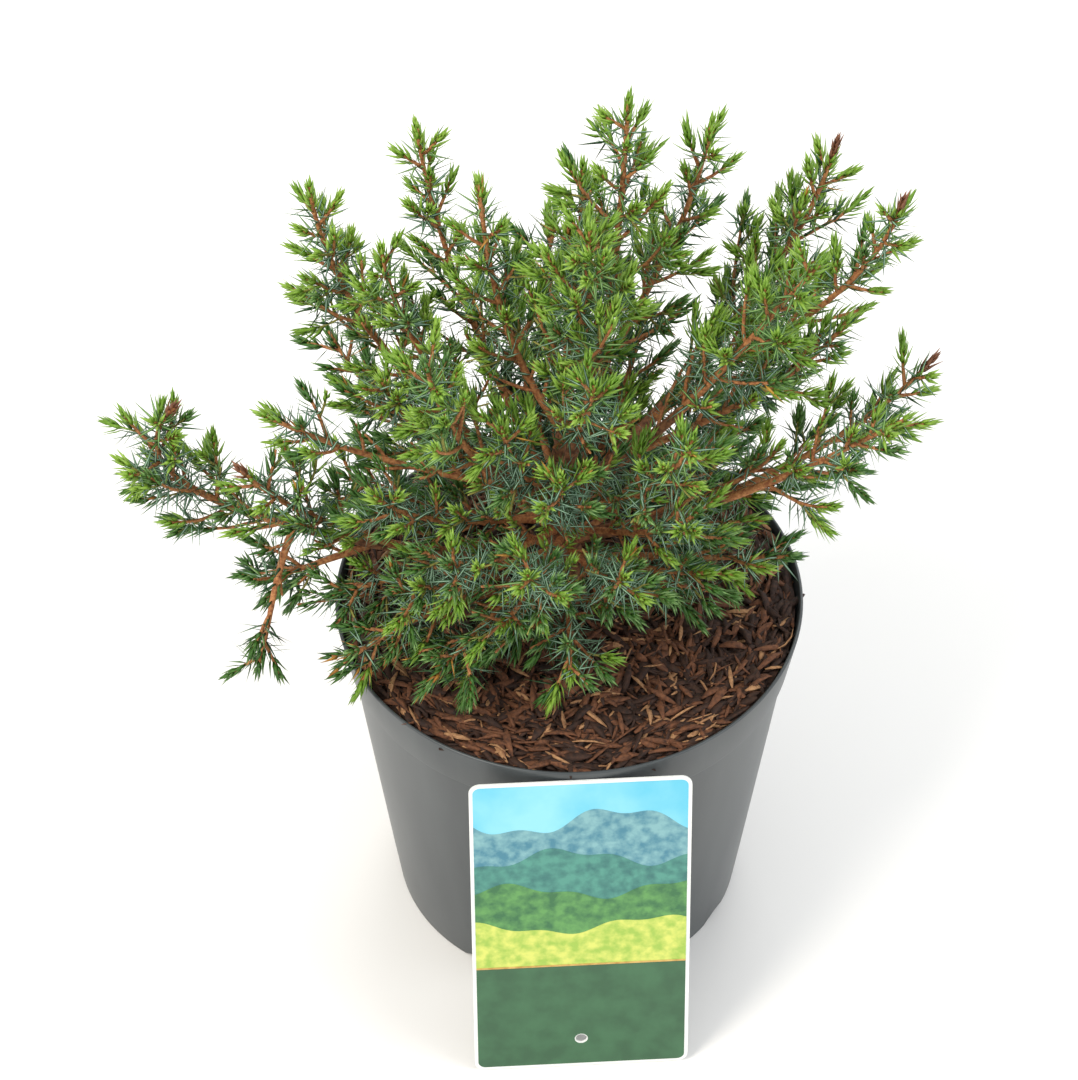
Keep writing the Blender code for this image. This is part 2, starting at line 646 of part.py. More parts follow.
def make_mass(entry, index, limbs, room, parts, cutters, material):
    """One mass of foliage: a stem, its side twigs by the golden turn, and needles."""
    shoot, path, bough, begin = entry
    name = "foliage_" + shoot.name
    rng = random.Random(100 + index)
    points = path.stretch(begin, 1.0, STEM_STEP)
    stem_length = path.length * (1.0 - begin)
    bare_joints = 0 if bough else max(2, round(0.22 * len(points)))
    first_radius = STEM_RADIUS if bough else min(STEM_RADIUS, 0.8 * limbs[shoot.parent].radii[-1])
    radii = taper(len(points), first_radius, TWIG_RADIUS * TWIG_TIP_SHARE)
    stem = grow_sprig(name, points, radii, index, room, rng, parts, bare_joints)
    twigs = bpy.data.collections.new("twigs")
    bpy.context.scene.collection.children.link(twigs)
    count = max(4, round(stem_length * (0.8 if bough else 0.66) / TWIG_SPACING))
    turn = rng.uniform(0.0, 2.0 * math.pi)
    first = 0.06 if bough else 0.14
    for k in range(count):
        share = first + (0.86 - first) * k / (count - 1)
        along = begin + (1.0 - begin) * share
        base = path.point(along)
        stem_aim = path.tangent(along)
        side = stem_aim.orthogonal().normalized()
        side.rotate(Matrix.Rotation(turn + GOLDEN_TURN * k, 3, stem_aim))
        angle = math.radians(TWIG_ANGLE + rng.uniform(-8.0, 8.0))
        aim = stem_aim * math.cos(angle) + side * math.sin(angle)
        length = shoot.spread * MM * (1.3 - 0.95 * share)
        line = twig_line(base, aim, stem_aim, length, index, room)
        if len(line) > TWIG_LEAST_JOINTS:
            twig_radii = taper(len(line), TWIG_RADIUS, TWIG_RADIUS * TWIG_TIP_SHARE)
            grow_sprig(f"twig_{k}", line, twig_radii, index, room, rng, twigs, 1)
    mass = fuse(stem, twigs, parts, material)
    if bough is None:
        roundness = limb_roundness(shoot.parent)
        mass = trim_at_parent(mass, limbs[shoot.parent], parts, cutters, material, roundness)
    return mass


def foliage_finish(shoot, path):
    """Blue-green inside and low down, fresher yellow-green towards the top."""
    high = min(1.0, max(0.0, (path.point(1.0).z - 0.16) / 0.20))
    old = np.array((0.075, 0.155, 0.085))
    young = np.array((0.200, 0.330, 0.075))
    colour = old + (young - old) * high
    return finish("needles_" + shoot.name, tuple(colour), 0.55)


def build():
    parts, cutters = fresh_scene()
    make_pot(parts, cutters)
    make_root_ball(parts)
    make_mulch(parts)
    make_label(parts)
    bark = finish("juniper_bark", (0.190, 0.085, 0.040), 0.85)
    limbs, layout = lay_out_shoots()
    make_trunk(limbs["trunk"], parts, bark)
    for shoot, path, bough, begin in layout:
        if bough:
            limb = tube("bough_" + shoot.name, bough.points, bough.radii, parts)
            roundness = limb_roundness(shoot.parent)
            trim_at_parent(limb, limbs[shoot.parent], parts, cutters, bark, roundness)
    room = Room(limbs, layout)
    for index, entry in enumerate(layout):
        material = foliage_finish(entry[0], entry[1])
        make_mass(entry, index, limbs, room, parts, cutters, material)
    for thing in parts.objects:
        if thing.name.startswith(("pot", "root_ball", "trunk", "bough_")):
            thing.data.shade_smooth()
            thing.data.set_sharp_from_angle(angle=math.radians(40.0))


build()
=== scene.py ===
# %% [markdown]
# This lesson dresses a potted shore juniper for a close look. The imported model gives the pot,
# root ball, mulch, label, trunk, boughs and the room that each mass of foliage has. The real
# surfaces go on it here: moulded plastic, shredded bark, flaking twigs and some thirty thousand
# needles, each a small mesh of eight faces.

# %% Load the frame
import json
import math
import random
from collections import namedtuple

import bpy
import bmesh
import numpy as np
from mathutils import Matrix, Vector, noise

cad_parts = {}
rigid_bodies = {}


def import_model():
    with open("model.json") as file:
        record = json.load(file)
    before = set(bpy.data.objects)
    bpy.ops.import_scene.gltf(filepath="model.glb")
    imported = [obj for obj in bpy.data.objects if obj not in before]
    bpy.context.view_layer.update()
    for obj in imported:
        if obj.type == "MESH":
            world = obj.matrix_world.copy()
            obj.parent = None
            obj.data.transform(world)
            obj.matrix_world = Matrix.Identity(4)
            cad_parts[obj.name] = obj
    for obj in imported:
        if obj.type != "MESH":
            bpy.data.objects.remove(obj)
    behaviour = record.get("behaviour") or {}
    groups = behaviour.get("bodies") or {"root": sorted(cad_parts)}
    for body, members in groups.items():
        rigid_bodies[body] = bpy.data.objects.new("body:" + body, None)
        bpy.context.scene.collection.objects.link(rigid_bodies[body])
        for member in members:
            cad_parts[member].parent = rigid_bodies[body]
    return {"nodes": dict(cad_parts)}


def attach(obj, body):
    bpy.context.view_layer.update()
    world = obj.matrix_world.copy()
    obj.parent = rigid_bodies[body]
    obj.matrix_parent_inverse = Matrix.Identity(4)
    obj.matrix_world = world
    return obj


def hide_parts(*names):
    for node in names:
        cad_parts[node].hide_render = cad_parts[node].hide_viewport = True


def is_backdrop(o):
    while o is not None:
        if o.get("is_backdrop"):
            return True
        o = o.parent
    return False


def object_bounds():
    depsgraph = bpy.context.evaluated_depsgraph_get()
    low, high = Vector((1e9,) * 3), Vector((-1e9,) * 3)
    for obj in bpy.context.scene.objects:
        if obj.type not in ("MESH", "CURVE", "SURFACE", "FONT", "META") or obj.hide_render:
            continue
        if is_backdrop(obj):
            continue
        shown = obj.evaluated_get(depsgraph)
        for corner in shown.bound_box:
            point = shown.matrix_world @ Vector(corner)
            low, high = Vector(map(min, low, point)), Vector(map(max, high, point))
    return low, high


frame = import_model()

cad_low, cad_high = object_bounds()
MM = 0.001
UP = Vector((0.0, 0.0, 1.0))
GOLDEN_TURN = math.pi * (3.0 - math.sqrt(5.0))
print("frame nodes:", len(frame["nodes"]), "height:", round(cad_high.z, 4), "m")

# %% [markdown]
# The camera stands where the photographer did: a little over a metre in front, looking down
# at 47 degrees through a long lens. Its place was worked out from the pot's rim and foot.

# %% Camera
CAMERA_PLACE = (-0.0108, -1.1117, 1.3656)
CAMERA_PITCH = 47.03
CAMERA_LENS = 153.4

camera = bpy.data.objects.new("camera", bpy.data.cameras.new("camera"))
bpy.context.scene.collection.objects.link(camera)
camera.location = CAMERA_PLACE
camera.rotation_euler = (math.radians(90.0 - CAMERA_PITCH), 0.0, 0.0)
camera.data.lens = CAMERA_LENS
camera.data.sensor_width = 36.0
bpy.context.scene.camera = camera
print("camera looks down at", CAMERA_PITCH, "degrees through", CAMERA_LENS, "mm")

# %% [markdown]
# A plant cut out on white needs a pale floor and light from all round. Large area lamps give
# soft shadows under the crown, and the white world fills them as a light tent would.

# %% Colours and nodes
def linear(hex_code):
    """An sRGB hex colour as the linear RGBA that shaders take."""
    channels = [int(hex_code[k:k + 2], 16) / 255.0 for k in (1, 3, 5)]
    curve = [c / 12.92 if c <= 0.04045 else ((c + 0.055) / 1.055) ** 2.4 for c in channels]
    return (*curve, 1.0)


def add_node(tree, kind, settings=None, feeds=None):
    """Add a node, set its properties, and give each named input a value or a link."""
    node = tree.nodes.new(kind)
    for name, value in (settings or {}).items():
        setattr(node, name, value)
    for name, feed in (feeds or {}).items():
        if isinstance(feed, bpy.types.NodeSocket):
            tree.links.new(feed, node.inputs[name])
        else:
            node.inputs[name].default_value = feed
    return node


def start_material(name, roughness, ior=1.5):
    """A Principled material with its uniform values set on the shader's own sockets."""
    material = bpy.data.materials.new(name)
    material.use_nodes = True
    shader = material.node_tree.nodes["Principled BSDF"]
    shader.inputs["Roughness"].default_value = roughness
    shader.inputs["IOR"].default_value = ior
    return material, material.node_tree, shader


# %% Floor, world and lamps
FLOOR_SIZE = 6.0
FLOOR_DROP = 0.2 * MM

floor_mesh = bpy.data.meshes.new("floor")
half_floor = FLOOR_SIZE / 2
floor_mesh.from_pydata([(-half_floor, -half_floor, -FLOOR_DROP), (half_floor, -half_floor, -FLOOR_DROP),
                        (half_floor, half_floor, -FLOOR_DROP), (-half_floor, half_floor, -FLOOR_DROP)],
                       [], [(0, 1, 2, 3)])
floor = bpy.data.objects.new("floor", floor_mesh)
bpy.context.scene.collection.objects.link(floor)
floor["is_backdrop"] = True
floor_material, floor_tree, floor_shader = start_material("white_paper_sweep", 0.9)
floor_shader.inputs["Base Color"].default_value = linear("#F6F5F1")
floor_shader.inputs["Specular IOR Level"].default_value = 0.1
floor_mesh.materials.append(floor_material)

WORLD_STRENGTH = 0.85
world = bpy.data.worlds.new("light_tent")
world.use_nodes = True
world.node_tree.nodes["Background"].inputs["Color"].default_value = linear("#FBFCFF")
world.node_tree.nodes["Background"].inputs["Strength"].default_value = WORLD_STRENGTH
bpy.context.scene.world = world
bpy.context.scene.view_settings.view_transform = "Standard"


def add_lamp(name, place, size, power, colour):
    lamp = bpy.data.objects.new(name, bpy.data.lights.new(name, "AREA"))
    lamp.data.shape = "DISK"
    lamp.data.size = size
    lamp.data.energy = power
    lamp.data.color = linear(colour)[:3]
    lamp.location = place
    aim = Vector((0.0, 0.0, 0.2)) - lamp.location
    lamp.rotation_euler = aim.to_track_quat("-Z", "Y").to_euler()
    bpy.context.scene.collection.objects.link(lamp)


add_lamp("key", (-1.1, -0.9, 1.9), 0.8, 30.0, "#FFF8EE")
add_lamp("fill", (1.5, -0.6, 1.5), 1.2, 12.0, "#F4F8FF")
add_lamp("rear", (0.3, 1.6, 1.6), 1.2, 12.0, "#FFFFFF")
print("lamps:", len(bpy.data.lights))

# %% [markdown]
# The pot is blow-moulded polypropylene, coloured in the mass with carbon black. Such plastic
# is dark grey with a soft sheen, and faint rings and streaks show where the sheet was formed.
# A fine profile turned in many steps gives the round lip, the band's step and the thin wall.

# %% Polypropylene of the pot
# Streaks are about 17 mm wide, and the mapping draws them out along the wall.
STREAKS_PER_METRE = 60.0
STREAK_STRETCH = 0.15
GRAINS_PER_METRE = 900.0

pot_plastic, tree, shader = start_material("moulded_polypropylene", 0.36, 1.49)
where = add_node(tree, "ShaderNodeTexCoord")
stretch = add_node(tree, "ShaderNodeMapping", {}, {"Vector": where.outputs["Object"],
                                                   "Scale": (1.0, 1.0, STREAK_STRETCH)})
streaks = add_node(tree, "ShaderNodeTexNoise", {}, {"Vector": stretch.outputs["Vector"],
                                                    "Scale": STREAKS_PER_METRE, "Detail": 4.0})
tone = add_node(tree, "ShaderNodeValToRGB", {}, {"Fac": streaks.outputs["Fac"]})
tone.color_ramp.elements[0].position = 0.3
tone.color_ramp.elements[0].color = linear("#3B4042")
tone.color_ramp.elements[1].position = 0.75
tone.color_ramp.elements[1].color = linear("#4A4F50")
tree.links.new(tone.outputs["Color"], shader.inputs["Base Color"])
grain = add_node(tree, "ShaderNodeTexNoise", {}, {"Vector": where.outputs["Object"],
                                                  "Scale": GRAINS_PER_METRE})
bump = add_node(tree, "ShaderNodeBump", {}, {"Height": grain.outputs["Fac"], "Strength": 0.06,
                                             "Distance": 0.0004})
tree.links.new(bump.outputs["Normal"], shader.inputs["Normal"])

# %% The pot
POT_HEIGHT = 143.4 * MM
LIP_RADIUS = 84.0 * MM
BAND_HEIGHT = 20.7 * MM
BAND_FOOT_RADIUS = 80.7 * MM
BAND_STEP = 1.4 * MM
FOOT_RADIUS = 63.9 * MM
WALL = 1.3 * MM
FLOOR_THICKNESS = 1.6 * MM
POT_TURN_STEPS = 160
LIP_BEAD = 0.65 * MM
NOTCHES = 4
NOTCH_SIDES = 48
NOTCH_DEPTH = 14.0 * MM
NOTCH_BEARING = -31.0
NOTCH_RADIUS = 10.0 * MM
NOTCH_HEIGHT = 3.0 * MM


def new_piece(name, mesh, replaced=()):
    """Link a mesh as a piece that rides on the root, and hide the nodes it replaces."""
    piece = bpy.data.objects.new(name, mesh)
    bpy.context.scene.collection.objects.link(piece)
    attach(piece, "root")
    if replaced:
        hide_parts(*replaced)
    return piece


def wall_radius(height):
    top = POT_HEIGHT - BAND_HEIGHT
    return FOOT_RADIUS + (BAND_FOOT_RADIUS - BAND_STEP - FOOT_RADIUS) * height / top


def arc(middle, radius, start, end, count):
    turns = [math.radians(start + (end - start) * k / count) for k in range(count + 1)]
    return [(middle[0] + radius * math.cos(t), middle[1] + radius * math.sin(t)) for t in turns]


band_foot = POT_HEIGHT - BAND_HEIGHT
profile = [(0.0, FLOOR_THICKNESS), (wall_radius(0.002) - WALL, FLOOR_THICKNESS),
           (wall_radius(band_foot) - WALL, band_foot - 2.0 * MM),
           (BAND_FOOT_RADIUS - WALL, band_foot + BAND_STEP)]
profile += arc((LIP_RADIUS - LIP_BEAD, POT_HEIGHT - LIP_BEAD), LIP_BEAD, 175.0, -5.0, 8)
profile += [(BAND_FOOT_RADIUS + 0.1 * MM, band_foot + 1.6 * MM)]
profile += arc((BAND_FOOT_RADIUS - 0.9 * MM, band_foot + 1.0 * MM), 0.9 * MM, 0.0, -80.0, 5)
profile += [(wall_radius(band_foot) + 0.1 * MM, band_foot - 0.1 * MM)]
profile += [(wall_radius(band_foot * k / 6), band_foot * k / 6) for k in range(5, 0, -1)]
profile += arc((FOOT_RADIUS - 0.9 * MM, 0.9 * MM), 0.9 * MM, 0.0, -90.0, 4)
profile += [(0.0, 0.0)]
pot_mesh = bpy.data.meshes.new("pot_shell")
profile_edges = [(k, k + 1) for k in range(len(profile) - 1)]
pot_mesh.from_pydata([(r, 0.0, z) for r, z in profile], profile_edges, [])
pot = bpy.data.objects.new("pot_shell", pot_mesh)
bpy.context.scene.collection.objects.link(pot)
screw = pot.modifiers.new("turn", "SCREW")
screw.steps = POT_TURN_STEPS
screw.render_steps = POT_TURN_STEPS
screw.use_merge_vertices = True
screw.merge_threshold = 0.00001
for k in range(NOTCHES):
    bearing = math.radians(NOTCH_BEARING + 360.0 / NOTCHES * k)
    out = Vector((math.cos(bearing), math.sin(bearing), 0.0))
    bm = bmesh.new()
    bmesh.ops.create_cone(bm, cap_ends=True, segments=NOTCH_SIDES, radius1=NOTCH_RADIUS,
                          radius2=NOTCH_RADIUS, depth=NOTCH_DEPTH)
    cutter_mesh = bpy.data.meshes.new("notch_cutter")
    bm.to_mesh(cutter_mesh)
    bm.free()
    cutter = bpy.data.objects.new("notch_cutter", cutter_mesh)
    bpy.context.scene.collection.objects.link(cutter)
    cutter.rotation_euler = out.to_track_quat("Z", "Y").to_euler()
    cutter.location = out * FOOT_RADIUS + UP * (NOTCH_HEIGHT - NOTCH_RADIUS)
    cut = pot.modifiers.new("notch", "BOOLEAN")
    cut.operation = "DIFFERENCE"
    cut.object = cutter
bpy.context.view_layer.update()
shell = bpy.data.meshes.new_from_object(pot.evaluated_get(bpy.context.evaluated_depsgraph_get()))
for thing in [pot] + [o for o in bpy.data.objects if o.name.startswith("notch_cutter")]:
    bpy.data.objects.remove(thing, do_unlink=True)
shell.materials.clear()
shell.materials.append(pot_plastic)
shell.shade_smooth()
shell.set_sharp_from_angle(angle=math.radians(32.0))
new_piece("nursery_pot", shell, ["pot"])
print("pot faces:", len(shell.polygons))

# %% [markdown]
# The mulch is shredded bark: dark, damp splinters with a few pale ones on top. One uneven
# surface lies under thousands of bent splinters, all joined into three pieces by their tone.

# %% Bark mulch materials
def bark_splinter(name, dark, light, grain_mm):
    """Wood splinter: long fibres run along it, so the noise is fine and its contrast high."""
    material, tree, shader = start_material(name, 0.82)
    where = add_node(tree, "ShaderNodeTexCoord")
    fibres = add_node(tree, "ShaderNodeTexNoise", {}, {"Vector": where.outputs["Object"],
                                                       "Scale": 1000.0 / grain_mm, "Detail": 6.0})
    tone = add_node(tree, "ShaderNodeValToRGB", {}, {"Fac": fibres.outputs["Fac"]})
    tone.color_ramp.elements[0].position = 0.32
    tone.color_ramp.elements[0].color = linear(dark)
    tone.color_ramp.elements[1].position = 0.68
    tone.color_ramp.elements[1].color = linear(light)
    tree.links.new(tone.outputs["Color"], shader.inputs["Base Color"])
    bump = add_node(tree, "ShaderNodeBump", {}, {"Height": fibres.outputs["Fac"], "Strength": 0.5,
                                                 "Distance": 0.0006})
    tree.links.new(bump.outputs["Normal"], shader.inputs["Normal"])
    return material


SPLINTER_TONES = [
    bark_splinter("damp_bark_splinter", "#22140E", "#43291A", 1.6),
    bark_splinter("brown_bark_splinter", "#4A2C1B", "#7A4D30", 1.4),
    bark_splinter("pale_wood_splinter", "#8A6040", "#B98D62", 1.2),
]
peat = bark_splinter("damp_peat", "#0F0907", "#2A1A12", 2.2)
frame["nodes"]["root_ball"].data.materials.clear()
frame["nodes"]["root_ball"].data.materials.append(peat)


# %% Meshes from arrays
def array_mesh(name, points, faces, materials, face_tones=None):
    """A mesh from a float array of points and an integer array of equal-sided faces."""
    mesh = bpy.data.meshes.new(name)
    sides = faces.shape[1]
    mesh.vertices.add(len(points))
    mesh.vertices.foreach_set("co", np.asarray(points, np.float32).ravel())
    mesh.loops.add(faces.size)
    mesh.loops.foreach_set("vertex_index", np.asarray(faces, np.int32).ravel())
    mesh.polygons.add(len(faces))
    mesh.polygons.foreach_set("loop_start", np.arange(0, faces.size, sides, dtype=np.int32))
    for material in materials:
        mesh.materials.append(material)
    if face_tones is not None:
        mesh.polygons.foreach_set("material_index", np.asarray(face_tones, np.int32))
    mesh.update(calc_edges=True)
    mesh.validate()
    return mesh


def unit(vectors):
    return vectors / np.maximum(np.linalg.norm(vectors, axis=-1, keepdims=True), 1e-12)


# %% Mulch bed and splinters
SOIL_HEIGHT = 134.0 * MM
MULCH_CROWN = 144.5 * MM
MULCH_EDGE = 141.5 * MM
MULCH_RADIUS = 81.2 * MM
TRUNK_HOLE = 6.0 * MM
SPLINTERS = 5200

SPLINTER_SEED = 5
draw = np.random.default_rng(SPLINTER_SEED)


def mulch_height(radius):
    share = np.clip(radius / MULCH_RADIUS, 0.0, 1.0)
    return MULCH_CROWN + (MULCH_EDGE - MULCH_CROWN) * share ** 1.6


rings, spokes = 60, 200
ring_radii = TRUNK_HOLE + (MULCH_RADIUS - TRUNK_HOLE) * np.linspace(0.0, 1.0, rings)
turns = np.arange(spokes) * 2.0 * math.pi / spokes
bed = np.zeros((rings, spokes, 3))
bed[..., 0] = ring_radii[:, None] * np.cos(turns)
bed[..., 1] = ring_radii[:, None] * np.sin(turns)
for i in range(rings):
    for j in range(spokes):
        spot = Vector((bed[i, j, 0], bed[i, j, 1], 0.0))
        lift = noise.noise(spot * 160.0) * 1.6 + noise.noise(spot * 420.0) * 0.9
        bed[i, j, 2] = mulch_height(ring_radii[i]) + (lift - 2.2) * MM
index = np.arange(rings * spokes).reshape(rings, spokes)
nxt = np.roll(index, -1, axis=1)
bed_faces = np.stack([index[:-1], index[1:], nxt[1:], nxt[:-1]], -1).reshape(-1, 4)
bed_mesh = array_mesh("mulch_bed", bed.reshape(-1, 3), bed_faces, [SPLINTER_TONES[0]])
bed_mesh.shade_smooth()
new_piece("mulch_bed", bed_mesh, ["bark_mulch"])


def splinters(count, tone, length_mm, width_mm, lift_mm):
    """Bent six-cornered slivers lying on the bed, joined in one mesh."""
    bearing = draw.uniform(0.0, 2.0 * math.pi, count)
    radius = np.sqrt(draw.uniform((9.0 * MM) ** 2, (MULCH_RADIUS - 1.0 * MM) ** 2, count))
    heading = draw.uniform(0.0, 2.0 * math.pi, count)
    length = draw.uniform(0.45, 1.25, count) * length_mm * MM
    near_rim = radius > 0.8 * MULCH_RADIUS
    heading = np.where(near_rim, bearing + math.pi / 2 + draw.normal(0.0, 0.5, count), heading)
    tilt = draw.normal(0.0, 0.20, count)
    middle = np.stack([radius * np.cos(bearing), radius * np.sin(bearing),
                       mulch_height(radius) + (draw.uniform(-2.0, 0.6, count) + lift_mm) * MM], -1)
    along = np.stack([np.cos(heading) * np.cos(tilt), np.sin(heading) * np.cos(tilt), np.sin(tilt)], -1)
    across = unit(np.cross(along, np.array([0.0, 0.0, 1.0]) + draw.normal(0.0, 0.5, (count, 3))))
    upward = np.cross(across, along)
    width = draw.uniform(0.5, 1.3, count) * width_mm * MM
    thick = width * draw.uniform(0.25, 0.5, count)
    bend = draw.normal(0.0, 0.09, count) * length
    corners = []
    for station, share in ((-0.5, 0.35), (-0.15, 1.0), (0.2, 0.9), (0.5, 0.25)):
        lift = bend * (1.0 - 4.0 * station * station)
        core = middle + along * (station * length)[:, None] + upward * lift[:, None]
        for side, rise in ((-1, -1), (1, -1), (1, 1), (-1, 1)):
            corners.append(core + across * (side * share * width / 2)[:, None]
                           + upward * (rise * share * thick / 2)[:, None])
    points = np.stack(corners, 1)
    quads = [(0, 1, 2, 3), (15, 14, 13, 12)]
    for s in range(3):
        for c in range(4):
            a, b = 4 * s + c, 4 * s + (c + 1) % 4
            quads.append((a, a + 4, b + 4, b))
    faces = np.array(quads)[None] + (np.arange(count) * 16)[:, None, None]
    mesh = array_mesh(f"splinters_{tone}", points.reshape(-1, 3), faces.reshape(-1, 4),
                      [SPLINTER_TONES[tone]])
    return new_piece(f"mulch_splinters_{tone}", mesh)


# Share of the splinters, length, width and height over the bed in mm, from dark to pale.
SPLINTER_KINDS = [(0.58, 11.0, 2.6, -0.6), (0.34, 12.0, 2.2, 0.0), (0.08, 11.0, 1.5, 0.6)]
for tone_index, (share, length_mm, width_mm, lift_mm) in enumerate(SPLINTER_KINDS):
    splinters(int(SPLINTERS * share), tone_index, length_mm, width_mm, lift_mm)
print("splinters:", SPLINTERS)

# %% [markdown]
# The label is a printed plastic card with a die-cut edge. Its picture here is a plain design:
# bands of sky and rolling green mounds over a deep green foot, with one gilt line between.
# Each colour is a thin printed layer, so the edges of the motifs stay crisp.

# %% Label card
LABEL_WIDTH = 78.0 * MM
LABEL_LENGTH = 141.0 * MM
LABEL_THICKNESS = 0.8 * MM
LABEL_CORNER = 4.0 * MM
LABEL_HOLE_RADIUS = 2.1 * MM
LABEL_HOLE_HEIGHT = 14.0 * MM
LABEL_FOOT = (4.7 * MM, -102.4 * MM)
LABEL_TURN = 3.4
LABEL_FLOOR_GAP = 0.1 * MM
LABEL_LIP_GAP = 0.3 * MM
PRINT_LIFT = 0.04 * MM
PRINT_MARGIN = 1.3 * MM
FOOT_BAND = 52.0 * MM


def printed_plastic(name, hex_code, other_hex, dot_mm, roughness=0.3):
    """Ink on gloss card: a soft mottle at the print's own grain."""
    material, tree, shader = start_material(name, roughness, 1.53)
    where = add_node(tree, "ShaderNodeTexCoord")
    mottle = add_node(tree, "ShaderNodeTexNoise", {}, {"Vector": where.outputs["Object"],
                                                       "Scale": 1000.0 / dot_mm, "Detail": 5.0})
    tone = add_node(tree, "ShaderNodeValToRGB", {}, {"Fac": mottle.outputs["Fac"]})
    tone.color_ramp.elements[0].position = 0.35
    tone.color_ramp.elements[0].color = linear(hex_code)
    tone.color_ramp.elements[1].position = 0.65
    tone.color_ramp.elements[1].color = linear(other_hex)
    tree.links.new(tone.outputs["Color"], shader.inputs["Base Color"])
    return material


def band_radius(height):
    share = (POT_HEIGHT - height) / BAND_HEIGHT
    return LIP_RADIUS + (BAND_FOOT_RADIUS - LIP_RADIUS) * share


label_turn = math.radians(LABEL_TURN)
label_ahead = Vector((math.sin(label_turn), -math.cos(label_turn), 0.0))
label_foot = Vector((*LABEL_FOOT, LABEL_FLOOR_GAP))
label_lean = 0.0
for _ in range(3):
    clear = band_radius(LABEL_LENGTH * math.cos(label_lean)) + LABEL_LIP_GAP + LABEL_THICKNESS / 2
    label_lean = math.asin((label_foot.dot(label_ahead) - clear) / LABEL_LENGTH)
LABEL_PLACE = (Matrix.Translation(label_foot + UP * LABEL_THICKNESS / 2 * math.sin(label_lean))
               @ Matrix.Rotation(label_turn, 4, "Z")
               @ Matrix.Rotation(math.pi / 2 - label_lean, 4, "X"))


def rounded_card(width, low, high, corner_low, corner_high, arc_points=9):
    outline = []
    for x_sign, y, start, corner in ((1, low, -90, corner_low), (1, high, 0, corner_high),
                                     (-1, high, 90, corner_high), (-1, low, 180, corner_low)):
        y_sign = 1 if y == low else -1
        for k in range(arc_points if corner > 0 else 1):
            turn = math.radians(start + 90.0 * k / (arc_points - 1))
            outline.append((x_sign * (width / 2 - corner) + corner * math.cos(turn),
                            y + y_sign * corner + corner * math.sin(turn)))
    return outline


def flat_print(name, loops, material, lift, thickness, replaced=()):
    """A filled 2D outline, a little thick, laid on the card's face."""
    curve = bpy.data.curves.new(name, "CURVE")
    curve.dimensions = "2D"
    curve.fill_mode = "BOTH"
    curve.extrude = thickness / 2
    for loop in loops:
        spline = curve.splines.new("POLY")
        spline.points.add(len(loop) - 1)
        for point, (x, y) in zip(spline.points, loop):
            point.co = (x, y, 0.0, 1.0)
        spline.use_cyclic_u = True
    thing = bpy.data.objects.new(name, curve)
    bpy.context.scene.collection.objects.link(thing)
    bpy.context.view_layer.update()
    mesh = bpy.data.meshes.new_from_object(thing.evaluated_get(bpy.context.evaluated_depsgraph_get()))
    bpy.data.objects.remove(thing, do_unlink=True)
    mesh.transform(LABEL_PLACE @ Matrix.Translation((0.0, 0.0, lift)))
    mesh.materials.clear()
    mesh.materials.append(material)
    return new_piece(name, mesh, replaced)


def circle_loop(x, y, radius, count=40):
    turns = [2.0 * math.pi * k / count for k in range(count)]
    return [(x + radius * math.cos(t), y + radius * math.sin(t)) for t in turns]


def mound_loop(base, top, swell, phase, count=48):
    """A band from a base line up to a rolling edge, clipped to the print's width."""
    half = LABEL_WIDTH / 2 - PRINT_MARGIN
    edge = []
    for k in range(count + 1):
        x = -half + 2.0 * half * k / count
        wave = math.sin(x * 95.0 + phase) + 0.4 * math.sin(x * 260.0 + 2.1 * phase)
        edge.append((x, top + swell * wave))
    return [(-half, base), (half, base)] + edge[::-1]


card_white = printed_plastic("white_card_core", "#EDEFEA", "#F6F7F3", 2.0)
hole = circle_loop(0.0, LABEL_HOLE_HEIGHT, LABEL_HOLE_RADIUS)
flat_print("label_card", [rounded_card(LABEL_WIDTH, 0.0, LABEL_LENGTH, LABEL_CORNER, LABEL_CORNER), hole],
           card_white, 0.0, LABEL_THICKNESS, replaced=["plant_label"])
face = LABEL_THICKNESS / 2
inner = LABEL_WIDTH - 2.0 * PRINT_MARGIN
top_edge = LABEL_LENGTH - PRINT_MARGIN
flat_print("label_sky", [rounded_card(inner, FOOT_BAND, top_edge, 0.0, LABEL_CORNER - PRINT_MARGIN)],
           printed_plastic("sky_blue_ink", "#62C4DE", "#8FD8E6", 30.0), face + PRINT_LIFT, PRINT_LIFT)
MOUNDS = [("far", 0.80, 5.0, 0.4, "#3F7F93", "#7FB0B4"), ("blue", 0.60, 4.0, 2.2, "#2F6F6A", "#4E9484"),
          ("mid", 0.42, 3.5, 4.0, "#2F6B3F", "#5E9A52"), ("sunny", 0.22, 3.0, 5.4, "#9DBF4A", "#D6DC6A")]
for order, (word, share, swell, phase, dark, light) in enumerate(MOUNDS):
    level = FOOT_BAND + (top_edge - FOOT_BAND) * share
    flat_print(f"label_mound_{word}", [mound_loop(FOOT_BAND, level, swell * MM, phase)],
               printed_plastic(f"{word}_green_ink", dark, light, 4.0),
               face + PRINT_LIFT * (order + 2), PRINT_LIFT)
foot_outline = rounded_card(inner, PRINT_MARGIN, FOOT_BAND, LABEL_CORNER - PRINT_MARGIN, 0.0)
foot_hole = circle_loop(0.0, LABEL_HOLE_HEIGHT, LABEL_HOLE_RADIUS + 0.3 * MM)
flat_print("label_foot_panel", [foot_outline, foot_hole],
           printed_plastic("deep_green_ink", "#2E5A3A", "#3A6A46", 9.0), face + PRINT_LIFT, PRINT_LIFT)
